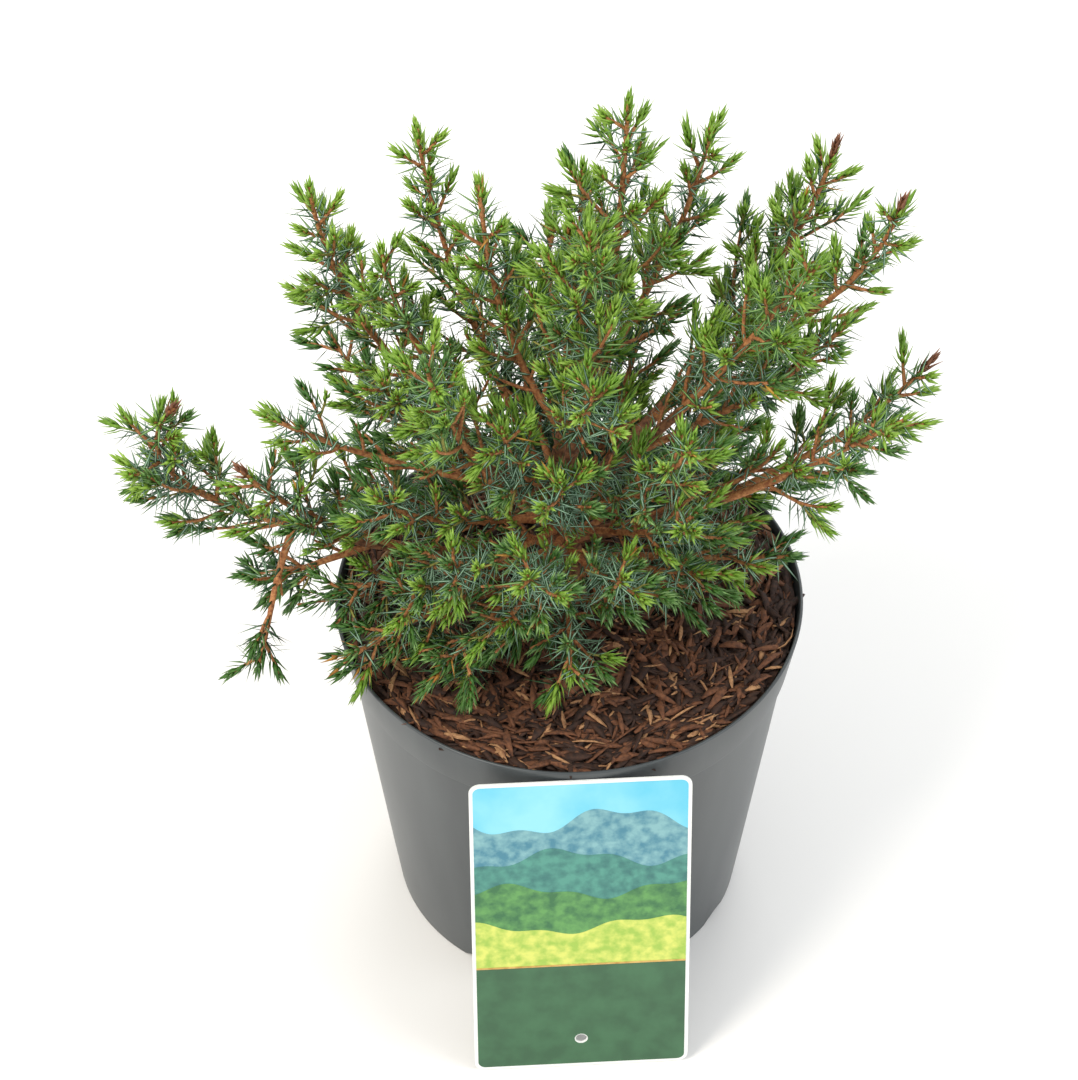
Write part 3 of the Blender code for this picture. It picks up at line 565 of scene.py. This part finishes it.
flat_print("label_gilt_line", [rounded_card(inner, FOOT_BAND - 0.4 * MM, FOOT_BAND + 0.4 * MM, 0.0, 0.0)],
           printed_plastic("gilt_ink", "#B98B3E", "#D9B263", 3.0, 0.28), face + PRINT_LIFT * 7, PRINT_LIFT)

# %% [markdown]
# Every limb follows one smooth cubic line from where it leaves its parent to its tip, by the
# same table as the solids. The bare share of the line is the bough, and the rest is its stem.

# %% Shoot lines
TRUNK_LENGTH = 74.0 * MM
TRUNK_LEAN = Vector((-5.0, -3.0, 0.0)) * MM
TRUNK_FOOT_RADIUS = 6.6 * MM
TRUNK_FORK_RADIUS = 4.4 * MM
FLARE = 3.2 * MM
FLARE_HEIGHT = 9.0 * MM
BOUGH_TIP_RADIUS = 1.5 * MM
BOUGH_TAPER = 0.009
BOUGH_SHARE_OF_PARENT = 0.72
END_NEEDLE = 9.0 * MM
GAP = 0.3 * MM

Shoot = namedtuple("Shoot", "name parent leaves bearing reach height bare launch finish spread")
SHOOTS = [
    Shoot("leader", "trunk", 1.00, -60, 12, 342, 0.30, 84, 88, 38),
    Shoot("leader_left", "leader", 0.60, 160, 34, 342, 0.0, 50, 84, 32),
    Shoot("crest", "trunk", 0.90, 58, 36, 362, 0.42, 54, 86, 34),
    Shoot("crest_right", "crest", 0.55, 47, 71, 332, 0.0, 48, 80, 34),
    Shoot("back_centre", "trunk", 0.84, 86, 62, 304, 0.0, 42, 82, 38),
    Shoot("back_left_tuft", "trunk", 0.76, 132, 80, 324, 0.0, 45, 80, 38),
    Shoot("left_column", "trunk", 0.66, 157, 97, 316, 0.42, 32, 85, 34),
    Shoot("left_shoulder", "left_column", 0.60, 168, 66, 310, 0.0, 72, 85, 38),
    Shoot("left_inner", "left_column", 0.35, -176, 66, 266, 0.0, 50, 80, 42),
    Shoot("face_left", "trunk", 0.80, -138, 66, 312, 0.42, 46, 80, 38),
    Shoot("front_shoot", "face_left", 0.45, -165, 114, 270, 0.0, 25, 42, 36),
    Shoot("centre_left", "trunk", 0.68, -150, 82, 244, 0.0, 30, 60, 44),
    Shoot("left_curl", "trunk", 0.36, -175, 130, 258, 0.50, 8, 128, 34),
    Shoot("left_stub", "left_curl", 0.56, -165, 120, 247, 0.0, 42, 62, 36),
    Shoot("left_hang", "left_curl", 0.66, -171, 118, 168, 0.0, -14, -10, 44),
    Shoot("left_fringe", "left_curl", 0.93, -161, 122, 140, 0.0, -25, -50, 38),
    Shoot("left_low", "left_curl", 0.34, -163, 96, 172, 0.0, 8, 5, 48),
    Shoot("low_left", "trunk", 0.48, -141, 86, 204, 0.0, 22, 35, 46),
    Shoot("low_left_outer", "trunk", 0.25, -147, 104, 160, 0.0, 20, -22, 44),
    Shoot("front_left_low", "trunk", 0.40, -128, 85, 164, 0.0, 20, -14, 44),
    Shoot("front_low", "trunk", 0.28, -90, 70, 166, 0.0, 28, -8, 44),
    Shoot("front_fill", "trunk", 0.48, -112, 72, 194, 0.0, 26, 20, 46),
    Shoot("front_face", "trunk", 0.58, -102, 74, 236, 0.0, 30, 60, 48),
    Shoot("front_left_mid", "trunk", 0.62, -126, 76, 230, 0.0, 32, 58, 46),
    Shoot("centre", "trunk", 0.76, -94, 54, 266, 0.0, 40, 72, 44),
    Shoot("centre_front", "trunk", 0.90, -118, 52, 284, 0.0, 46, 76, 44),
    Shoot("face_right", "trunk", 0.74, -50, 65, 282, 0.0, 46, 75, 42),
    Shoot("face_centre", "leader", 0.55, -80, 44, 300, 0.0, 44, 78, 40),
    Shoot("front_mid", "trunk", 0.50, -72, 66, 222, 0.0, 28, 52, 46),
    Shoot("right_front", "trunk", 0.62, -46, 66, 242, 0.0, 34, 62, 42),
    Shoot("right_bright", "trunk", 0.82, -12, 88, 332, 0.42, 45, 60, 36),
    Shoot("right_mid", "right_bright", 0.50, 3, 98, 283, 0.0, 28, 60, 38),
    Shoot("right_low_tip", "trunk", 0.54, -14, 122, 268, 0.46, 25, 45, 34),
    Shoot("right_far", "right_low_tip", 0.62, 6, 130, 255, 0.0, 15, 52, 34),
    Shoot("right_inner", "right_low_tip", 0.40, -6, 76, 236, 0.0, 40, 66, 42),
    Shoot("right_skirt", "trunk", 0.38, -11, 88, 182, 0.0, 22, 15, 40),
    Shoot("front_right_low", "trunk", 0.43, -34, 66, 196, 0.0, 26, 35, 44),
    Shoot("right_back", "trunk", 0.70, 38, 119, 304, 0.44, 33, 74, 38),
    Shoot("right_brown", "right_back", 0.60, 10, 114, 326, 0.0, 50, 80, 34),
    Shoot("back", "trunk", 0.60, 94, 110, 240, 0.0, 22, 65, 44),
    Shoot("back_inner", "trunk", 0.90, 114, 58, 258, 0.0, 34, 70, 44),
    Shoot("back_left", "trunk", 0.52, 140, 118, 212, 0.0, 18, 55, 44),
    Shoot("back_right", "trunk", 0.44, 45, 118, 205, 0.0, 18, 55, 44),
    Shoot("back_right_inner", "trunk", 0.56, 64, 64, 240, 0.0, 30, 66, 44),
    Shoot("back_low", "trunk", 0.32, 82, 98, 178, 0.0, 24, 20, 42),
    Shoot("left_back_low", "trunk", 0.44, 166, 94, 188, 0.0, 20, 20, 44),
]


def heading(bearing, pitch):
    bearing, pitch = math.radians(bearing), math.radians(pitch)
    return np.array([math.cos(bearing) * math.cos(pitch), math.sin(bearing) * math.cos(pitch),
                     math.sin(pitch)])


def cubic(cage, shares):
    rest = 1.0 - shares
    weights = np.stack([rest ** 3, 3 * rest ** 2 * shares, 3 * rest * shares ** 2, shares ** 3], -1)
    return weights @ cage


def shoot_cage(start, tip, launch, finish_pitch):
    flat = tip[:2] - start[:2]
    bearing = math.degrees(math.atan2(flat[1], flat[0]))
    hold = np.linalg.norm(tip - start) * 0.36
    return np.array([start, start + heading(bearing, launch) * hold,
                     tip - heading(bearing, finish_pitch) * hold, tip])


def limb_at(limb, share):
    points, radii = limb
    place = share * (len(points) - 1)
    low = min(int(place), len(points) - 2)
    part = place - low
    return points[low] * (1 - part) + points[low + 1] * part, radii[low] * (1 - part) + radii[low + 1] * part


trunk_shares = np.linspace(0.0, 1.0, 40)
trunk_heights = TRUNK_LENGTH * trunk_shares
trunk_points = (np.array([0.0, 0.0, SOIL_HEIGHT + GAP]) + trunk_heights[:, None] * np.array([0, 0, 1.0])
                + trunk_shares[:, None] ** 1.5 * np.array(TRUNK_LEAN))
trunk_radii = (TRUNK_FOOT_RADIUS + (TRUNK_FORK_RADIUS - TRUNK_FOOT_RADIUS) * trunk_shares
               + FLARE * np.exp(-trunk_heights / FLARE_HEIGHT * 1.6))
limbs = {"trunk": (trunk_points, trunk_radii)}
stems = {}
for shoot in SHOOTS:
    start, parent_radius = limb_at(limbs[shoot.parent], shoot.leaves)
    tip = heading(shoot.bearing, 0.0) * shoot.reach * MM + np.array([0.0, 0.0, shoot.height * MM])
    tip = tip - heading(shoot.bearing, shoot.finish) * END_NEEDLE
    cage = shoot_cage(start, tip, shoot.launch, shoot.finish)
    length = np.linalg.norm(np.diff(cubic(cage, np.linspace(0, 1, 61)), axis=0), axis=1).sum()
    base_radius = min(BOUGH_TIP_RADIUS + BOUGH_TAPER * length, BOUGH_SHARE_OF_PARENT * parent_radius)
    if shoot.bare > 0.0:
        count = max(6, int(shoot.bare * length / (1.6 * MM)))
        shares = np.linspace(0.0, shoot.bare, count)
        limbs[shoot.name] = (cubic(cage, shares), np.linspace(base_radius, BOUGH_TIP_RADIUS, count))
    stems[shoot.name] = (cage, length, shoot.bare)
print("boughs:", len(limbs) - 1, "masses:", len(stems))

# %% [markdown]
# Young juniper stems have thin bark that splits into papery orange-brown strips. The relief
# is in the mesh: lengthwise ridges that wander a little, and rough rings at old leaf scars.

# %% Bark material and limb meshes
def juniper_bark(name, dark, light, flake_mm):
    material, tree, shader = start_material(name, 0.78)
    where = add_node(tree, "ShaderNodeTexCoord")
    flakes = add_node(tree, "ShaderNodeTexNoise", {}, {"Vector": where.outputs["Object"],
                                                       "Scale": 1000.0 / flake_mm, "Detail": 7.0})
    tone = add_node(tree, "ShaderNodeValToRGB", {}, {"Fac": flakes.outputs["Fac"]})
    tone.color_ramp.elements[0].position = 0.35
    tone.color_ramp.elements[0].color = linear(dark)
    tone.color_ramp.elements[1].position = 0.66
    tone.color_ramp.elements[1].color = linear(light)
    tree.links.new(tone.outputs["Color"], shader.inputs["Base Color"])
    bump = add_node(tree, "ShaderNodeBump", {}, {"Height": flakes.outputs["Fac"], "Strength": 0.6,
                                                 "Distance": 0.0003})
    tree.links.new(bump.outputs["Normal"], shader.inputs["Normal"])
    return material


old_bark = juniper_bark("flaking_bark", "#5A3826", "#A5714B", 1.5)
young_bark = juniper_bark("orange_young_bark", "#8E5230", "#C68A55", 1.2)


def tubes(name, lines, sides, material, relief=0.0):
    """Round tapering tubes along many lines, joined in one mesh."""
    all_points, all_faces, offset = [], [], 0
    for number, (points, radii) in enumerate(lines):
        tangent = unit(np.gradient(points, axis=0))
        reference = np.eye(3)[np.abs(tangent.mean(0)).argmin()]
        across = unit(np.cross(tangent, reference))
        other = np.cross(tangent, across)
        turns = np.arange(sides) * 2.0 * math.pi / sides
        swell = np.ones((len(points), sides))
        if relief > 0.0:
            run = np.arange(len(points))[:, None]
            wander = 0.7 * np.sin(run * 0.31 + number)
            swell += relief * np.sin(5.0 * turns[None] + wander + number * 1.7)
            swell += 0.6 * relief * np.sin(9.0 * turns[None] - 0.8 * run + number)
            swell += 0.5 * relief * (np.sin(run * 2.1 + 3.0 * np.sin(turns[None] + number)) > 0.75)
        around = (across[:, None] * np.cos(turns)[None, :, None]
                  + other[:, None] * np.sin(turns)[None, :, None])
        ring = points[:, None] + around * (radii[:, None] * swell)[..., None]
        count = len(points)
        grid = offset + np.arange(count * sides).reshape(count, sides)
        after = np.roll(grid, -1, axis=1)
        all_points.append(ring.reshape(-1, 3))
        all_faces.append(np.stack([grid[:-1], after[:-1], after[1:], grid[1:]], -1).reshape(-1, 4))
        foot_corner = np.full(sides, offset + count * sides)
        end_corner = foot_corner + 1
        all_points.append(np.stack([points[0], points[-1] + tangent[-1] * radii[-1]]))
        all_faces.append(np.stack([after[0], grid[0], foot_corner, foot_corner], -1))
        all_faces.append(np.stack([grid[-1], after[-1], end_corner, end_corner], -1))
        offset += count * sides + 2
    faces = np.concatenate(all_faces)
    points = np.concatenate(all_points)
    first = np.stack([faces[:, 0], faces[:, 1], faces[:, 2]], -1)
    second = np.stack([faces[:, 0], faces[:, 2], faces[:, 3]], -1)
    second = second[second[:, 1] != second[:, 2]]
    mesh = array_mesh(name, points, np.concatenate([first, second]), [material])
    mesh.shade_smooth()
    return mesh


bough_names = ["trunk"] + ["bough_" + name for name in limbs if name != "trunk"]
limb_mesh = tubes("bark_of_limbs", list(limbs.values()), 14, old_bark, 0.07)
new_piece("bark_of_limbs", limb_mesh, bough_names)

# %% [markdown]
# Each mass keeps to its own room: a twig or needle stays if its point is nearer its own stem
# line than any neighbour's, within the mass's spread, and clear of the pot and the label.

# %% Room of each mass
POT_ROOM_HEIGHT = 147.5 * MM
POT_ROOM_RADIUS = 92.0 * MM
LABEL_ROOM = (50.0 * MM, -75.0 * MM)
BOX_SLACK = 4.0 * MM

room_lines = []
for shoot in SHOOTS:
    cage, length, bare = stems[shoot.name]
    shares = np.linspace(bare, 1.0, max(3, int((1.0 - bare) * length / (4.0 * MM))))
    room_lines.append(cubic(cage, shares))
room_spreads = [shoot.spread * MM for shoot in SHOOTS]


def in_room(places, own):
    """Which of many points belong to a mass's own room."""
    places = np.asarray(places)
    beyond = np.stack([np.linalg.norm(places[:, None] - line[None], axis=2).min(1) - spread
                       for line, spread in zip(room_lines, room_spreads)], 1)
    mine = beyond[:, own]
    others = np.delete(beyond, own, axis=1).min(1)
    flat = np.hypot(places[:, 0], places[:, 1])
    low = places[:, 2] < POT_ROOM_HEIGHT
    ahead = (np.abs(places[:, 0]) < LABEL_ROOM[0]) & (places[:, 1] < LABEL_ROOM[1])
    over_low = places > np.array(cad_low) - BOX_SLACK
    under_high = places < np.array(cad_high) + BOX_SLACK
    inside_box = np.all(over_low & under_high, axis=1)
    return (mine < 0.0) & (mine <= others) & ~(low & ((flat < POT_ROOM_RADIUS) | ahead)) & inside_box


# %% [markdown]
# Twigs branch off the stem by the golden turn, as in the solids, but closer together, and the
# longer ones bear side twigs of their own. Each bends towards the stem's aim and a little up
# to the light, and stops where its mass's room ends.

# %% Twig growth
TWIG_SPACING = 5.0 * MM
TWIG_ANGLE = 50.0
TWIG_STEP = 3.0 * MM
SIDE_SPACING = 8.0 * MM
SIDE_ANGLE = 46.0
LEAST_TWIG = 8.0 * MM
TWIG_SEED = 500

Twig = namedtuple("Twig", "own level line")


def twig_walk(base, aim, lift, length, own, rng):
    """Points of one twig, as far as its mass has room."""
    points = [base]
    aim = aim / np.linalg.norm(aim)
    for k in range(max(2, int(length / TWIG_STEP))):
        sway = np.array([rng.gauss(0.0, 0.05) for _ in range(3)])
        aim = aim + lift * 0.06 + np.array([0.0, 0.0, 0.03]) + sway
        aim = aim / np.linalg.norm(aim)
        points.append(points[-1] + aim * TWIG_STEP)
    points = np.array(points)
    held = in_room(points, own)
    held[:2] = True
    stop = len(points) if held.all() else int(np.argmin(held))
    return points[:stop]


def turned_aside(direction, angle, turn):
    reference = np.eye(3)[np.abs(direction).argmin()]
    across = unit(np.cross(direction, reference))
    other = np.cross(direction, across)
    side = across * math.cos(turn) + other * math.sin(turn)
    return direction * math.cos(angle) + side * math.sin(angle)


twigs = []
for own, shoot in enumerate(SHOOTS):
    rng = random.Random(TWIG_SEED + own)
    cage, length, bare = stems[shoot.name]
    stem_length = (1.0 - bare) * length
    shares = np.linspace(bare, 1.0, max(8, int(stem_length / (2.5 * MM))))
    line = cubic(cage, shares)
    twigs.append(Twig(own, 0, line))
    first = 0.03 if bare > 0.0 else 0.12
    count = int(stem_length * (1.0 - first) / TWIG_SPACING)
    turn = rng.uniform(0.0, 6.28)
    for k in range(count):
        share = first + (0.93 - first) * k / max(1, count - 1)
        spot = share * (len(line) - 1)
        low = min(int(spot), len(line) - 2)
        base = line[low] + (line[low + 1] - line[low]) * (spot - low)
        aim = unit(line[low + 1] - line[low])
        angle = math.radians(TWIG_ANGLE + rng.uniform(-10.0, 10.0))
        reach = shoot.spread * MM * (1.3 - 1.0 * share) * rng.uniform(0.55, 1.1)
        walk = twig_walk(base, turned_aside(aim, angle, turn + GOLDEN_TURN * k), aim, reach, own, rng)
        if (len(walk) - 1) * TWIG_STEP < LEAST_TWIG:
            continue
        twigs.append(Twig(own, 1, walk))
        reach = (len(walk) - 1) * TWIG_STEP
        for j in range(int((reach - 8.0 * MM) / SIDE_SPACING)):
            at = 1 + int((6.0 * MM + SIDE_SPACING * j) / TWIG_STEP)
            way = unit(walk[at] - walk[at - 1])
            angle = math.radians(SIDE_ANGLE + rng.uniform(-10.0, 10.0))
            aside = turned_aside(way, angle, turn + GOLDEN_TURN * (k + 2.3 * j))
            span = (reach - at * TWIG_STEP) * rng.uniform(0.45, 0.8) + 5.0 * MM
            sprig = twig_walk(walk[at], aside, way, span, own, rng)
            if len(sprig) >= 3:
                twigs.append(Twig(own, 2, sprig))
reach_in_all = sum(np.linalg.norm(np.diff(twig.line, axis=0), axis=1).sum() for twig in twigs)
twig_counts = [sum(twig.level == k for twig in twigs) for k in range(3)]
print("twigs:", twig_counts, "metres:", round(reach_in_all, 1))

# %% Bark of stems and twigs
STEM_SIDES, TWIG_SIDES, SIDE_SIDES = 8, 5, 4
green_twig = juniper_bark("green_twig_skin", "#7C7A35", "#A39C52", 1.0)
for level, name, sides, thick, thin, material in (
        (0, "bark_of_stems", STEM_SIDES, 1.5, 0.65, young_bark),
        (1, "bark_of_twigs", TWIG_SIDES, 0.75, 0.45, young_bark),
        (2, "skin_of_side_twigs", SIDE_SIDES, 0.5, 0.38, green_twig)):
    lines = [(twig.line, np.linspace(thick, thin, len(twig.line)) * MM)
             for twig in twigs if twig.level == level]
    bark = tubes(name, lines, sides, material, 0.06 if level == 0 else 0.0)
    new_piece(name, bark)
    print(name, "triangles:", len(bark.polygons))

# %% [markdown]
# A juniper needle is an awl: stiff and sharp, green at its margins, with a pale waxy band along
# its upper side. Eight faces hold that shape, and the band has faces of its own; their pale colour
# is partly that waxy band and partly a painted highlight along the ridge. Needles stand in whorls
# of three, each whorl turned by a sixth of a turn: wide open on old wood, and bunched
# forward like a paintbrush on new growth.

# %% Needle materials
def needle_wax(name, hex_code, other_hex, roughness):
    """Waxy leaf skin: a soft gloss, with tones that drift over a few centimetres."""
    material, tree, shader = start_material(name, roughness, 1.45)
    where = add_node(tree, "ShaderNodeTexCoord")
    drift = add_node(tree, "ShaderNodeTexNoise", {}, {"Vector": where.outputs["Object"], "Scale": 55.0})
    tone = add_node(tree, "ShaderNodeValToRGB", {}, {"Fac": drift.outputs["Fac"]})
    tone.color_ramp.elements[0].position = 0.35
    tone.color_ramp.elements[0].color = linear(hex_code)
    tone.color_ramp.elements[1].position = 0.65
    tone.color_ramp.elements[1].color = linear(other_hex)
    tree.links.new(tone.outputs["Color"], shader.inputs["Base Color"])
    return material


# The second material of each kind goes on the two faces along the needle's ridge and is lighter than the
# margin. It is a painted highlight, and on the old and green needles it also stands for their real waxy band.
NEEDLE_KINDS = {
    "old": (needle_wax("old_needle_margin", "#2C5031", "#3A6238", 0.42),
            needle_wax("old_needle_wax_band_and_painted_highlight", "#86A78F", "#9DBBA2", 0.5)),
    "mid": (needle_wax("green_needle_margin", "#3F6B2A", "#517C33", 0.42),
            needle_wax("green_needle_wax_band_and_painted_highlight", "#7C9F5C", "#8FB06C", 0.48)),
    "young": (needle_wax("young_needle_margin", "#6F9A2F", "#88AE3C", 0.4),
              needle_wax("young_needle_painted_highlight", "#8DB045", "#A0BF55", 0.45)),
    "dead": (needle_wax("dead_needle_margin", "#C08A2E", "#93592A", 0.6),
             needle_wax("dead_needle_painted_highlight", "#D9AE4C", "#A8703A", 0.6)),
    "brown": (needle_wax("brown_tip_margin", "#6E4631", "#85573B", 0.6),
              needle_wax("brown_tip_painted_highlight", "#8F6246", "#A2755A", 0.6)),
}

# %% Needles on each twig
WHORL_STEP = 3.1 * MM
BRUSH_STEP = 1.5 * MM
BRUSH_LENGTH = 11.0 * MM
OPEN_ANGLE, BRUSH_ANGLE, TIP_ANGLE = 70.0, 40.0, 14.0
OLD_LENGTH, YOUNG_LENGTH, TIP_LENGTH = 11.5 * MM, 9.5 * MM, 6.5 * MM
OLD_WIDTH, YOUNG_WIDTH = 1.1 * MM, 1.55 * MM
BROWN_TIPS = {"left_curl", "left_stub", "right_brown", "right_back", "right_far"}
DEAD_PLACE = np.array([-0.066, -0.058, 0.165])
DEAD_REACH = 26.0 * MM
DEAD_SHARE_NEAR, DEAD_SHARE_ELSEWHERE = 0.10, 0.004
BALD_SHARE = 0.25
FRESH_FROM, FRESH_SPAN = 0.17, 0.17
YOUNG_BRUSH_FROM, GREEN_WOOD_FROM = 0.30, 0.80
NEEDLE_SEED = 77

needle_draw = np.random.default_rng(NEEDLE_SEED)
sprays = {kind: [] for kind in NEEDLE_KINDS}


def places_along(line, marks):
    gaps = np.linalg.norm(np.diff(line, axis=0), axis=1)
    run = np.concatenate([[0.0], np.cumsum(gaps)])
    points = np.stack([np.interp(marks, run, line[:, axis]) for axis in range(3)], -1)
    slopes = np.gradient(line, run, axis=0)
    ways = np.stack([np.interp(marks, run, slopes[:, axis]) for axis in range(3)], -1)
    return points, unit(ways)


for number, (own, level, line) in enumerate(twigs):
    whole = np.linalg.norm(np.diff(line, axis=0), axis=1).sum()
    brush = min(BRUSH_LENGTH * needle_draw.uniform(0.8, 1.3), 0.7 * whole)
    bald = BALD_SHARE * whole if level == 0 else 0.0
    marks = np.concatenate([np.arange(bald + WHORL_STEP * 0.5, whole - brush, WHORL_STEP),
                            np.arange(whole - brush, whole, BRUSH_STEP)])
    points, ways = places_along(line, marks)
    youth = np.clip((marks - (whole - brush)) / brush, 0.0, 1.0)[:, None]
    in_brush = youth > 0.0
    reference = np.eye(3)[np.abs(ways.mean(0)).argmin()]
    across = unit(np.cross(ways, reference))
    other = np.cross(ways, across)
    turns = (np.arange(len(marks)) * math.pi / 3)[:, None] + np.arange(3)[None] * 2 * math.pi / 3
    turns = turns + needle_draw.normal(0.0, 0.16, turns.shape) + number
    radial = across[:, None] * np.cos(turns)[..., None] + other[:, None] * np.sin(turns)[..., None]
    spread = np.where(in_brush, BRUSH_ANGLE + (TIP_ANGLE - BRUSH_ANGLE) * youth, OPEN_ANGLE)
    angle = np.radians(spread + needle_draw.normal(0.0, 6.0, turns.shape))
    aim = ways[:, None] * np.cos(angle)[..., None] + radial * np.sin(angle)[..., None]
    length = np.where(in_brush, YOUNG_LENGTH + (TIP_LENGTH - YOUNG_LENGTH) * youth, OLD_LENGTH)
    length = length * needle_draw.uniform(0.8, 1.1, turns.shape)
    base = np.broadcast_to(points[:, None], aim.shape)
    held = in_room((base + aim * length[..., None]).reshape(-1, 3), own).reshape(turns.shape)
    up = unit(ways[:, None] - aim * (ways[:, None] * aim).sum(-1, keepdims=True))
    width = np.broadcast_to(np.where(in_brush, YOUNG_WIDTH, OLD_WIDTH), turns.shape)
    fresh = (line[-1][2] - FRESH_FROM) / FRESH_SPAN + needle_draw.normal(0.0, 0.30)
    brush_kind = "young" if fresh > YOUNG_BRUSH_FROM else "mid"
    wood_kind = "mid" if fresh > GREEN_WOOD_FROM else "old"
    near_dead = np.linalg.norm(base - DEAD_PLACE, axis=-1) < DEAD_REACH
    dead_share = np.where(near_dead, DEAD_SHARE_NEAR, DEAD_SHARE_ELSEWHERE)
    dead = needle_draw.random(turns.shape) < dead_share
    tip_mask = np.broadcast_to(in_brush, turns.shape)
    brown = np.zeros(turns.shape, bool)
    if level == 0 and SHOOTS[own].name in BROWN_TIPS:
        brown = np.broadcast_to(youth > 0.45, turns.shape)
    for kind, chosen in ((wood_kind, held & ~tip_mask & ~dead),
                         (brush_kind, held & tip_mask & ~dead & ~brown),
                         ("dead", held & dead & ~brown),
                         ("brown", held & brown)):
        if chosen.any():
            sprays[kind].append((base[chosen], aim[chosen], up[chosen], length[chosen], width[chosen],
                                 tip_mask[chosen]))


# %% Needle meshes
def needle_mesh(name, base, aim, up, length, width, in_brush, materials):
    """Eight-faced awls: a foot, two edges, the band's two edges and a point."""
    count = len(base)
    side = np.cross(aim, up)
    width = (width * needle_draw.uniform(0.85, 1.15, count))[:, None]
    belly = base + aim * (np.where(in_brush, 0.38, 0.24) * length)[:, None]
    band = np.where(in_brush, 0.24, 0.17)[:, None] * width
    rise = up * width * 0.16
    curve = (np.where(in_brush, 0.10, 0.04) * length)[:, None]
    points = np.stack([base, belly - side * width / 2, belly - side * band + rise, belly + side * band + rise,
                       belly + side * width / 2, base + aim * length[:, None] + up * curve], 1)
    shape = np.array([(0, 1, 2), (0, 2, 3), (0, 3, 4), (5, 2, 1), (5, 3, 2), (5, 4, 3), (0, 4, 1), (5, 1, 4)])
    faces = shape[None] + (np.arange(count) * 6)[:, None, None]
    # Material 1 goes on the two ridge faces: the painted highlight, laid over the waxy band on old and green
    # needles.
    tones = np.tile([0, 1, 0, 0, 1, 0, 0, 0], count)
    return array_mesh(name, points.reshape(-1, 3), faces.reshape(-1, 3), materials, tones)


MOST_IN_ONE = 24000
foliage_nodes = ["foliage_" + shoot.name for shoot in SHOOTS]
total = 0
for kind, parts in sprays.items():
    arrays = [np.concatenate([part[k] for part in parts]) for k in range(6)]
    pieces = math.ceil(len(arrays[0]) / MOST_IN_ONE)
    for k in range(pieces):
        cut = slice(k * MOST_IN_ONE, (k + 1) * MOST_IN_ONE)
        mesh = needle_mesh(f"needles_{kind}_{k}", *[a[cut] for a in arrays], NEEDLE_KINDS[kind])
        piece = new_piece(f"needles_{kind}_{k}", mesh)
        if kind == "old" and k == 0:
            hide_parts(*foliage_nodes)
    total += len(arrays[0])
    print(kind, "needles:", len(arrays[0]), "in", pieces, "pieces")
print("needles in all:", total)

# %% Sizes
low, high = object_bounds()
print("CAD box", [round(v, 4) for v in (*cad_low, *cad_high)])
print("visual box", [round(v, 4) for v in (*low, *high)])
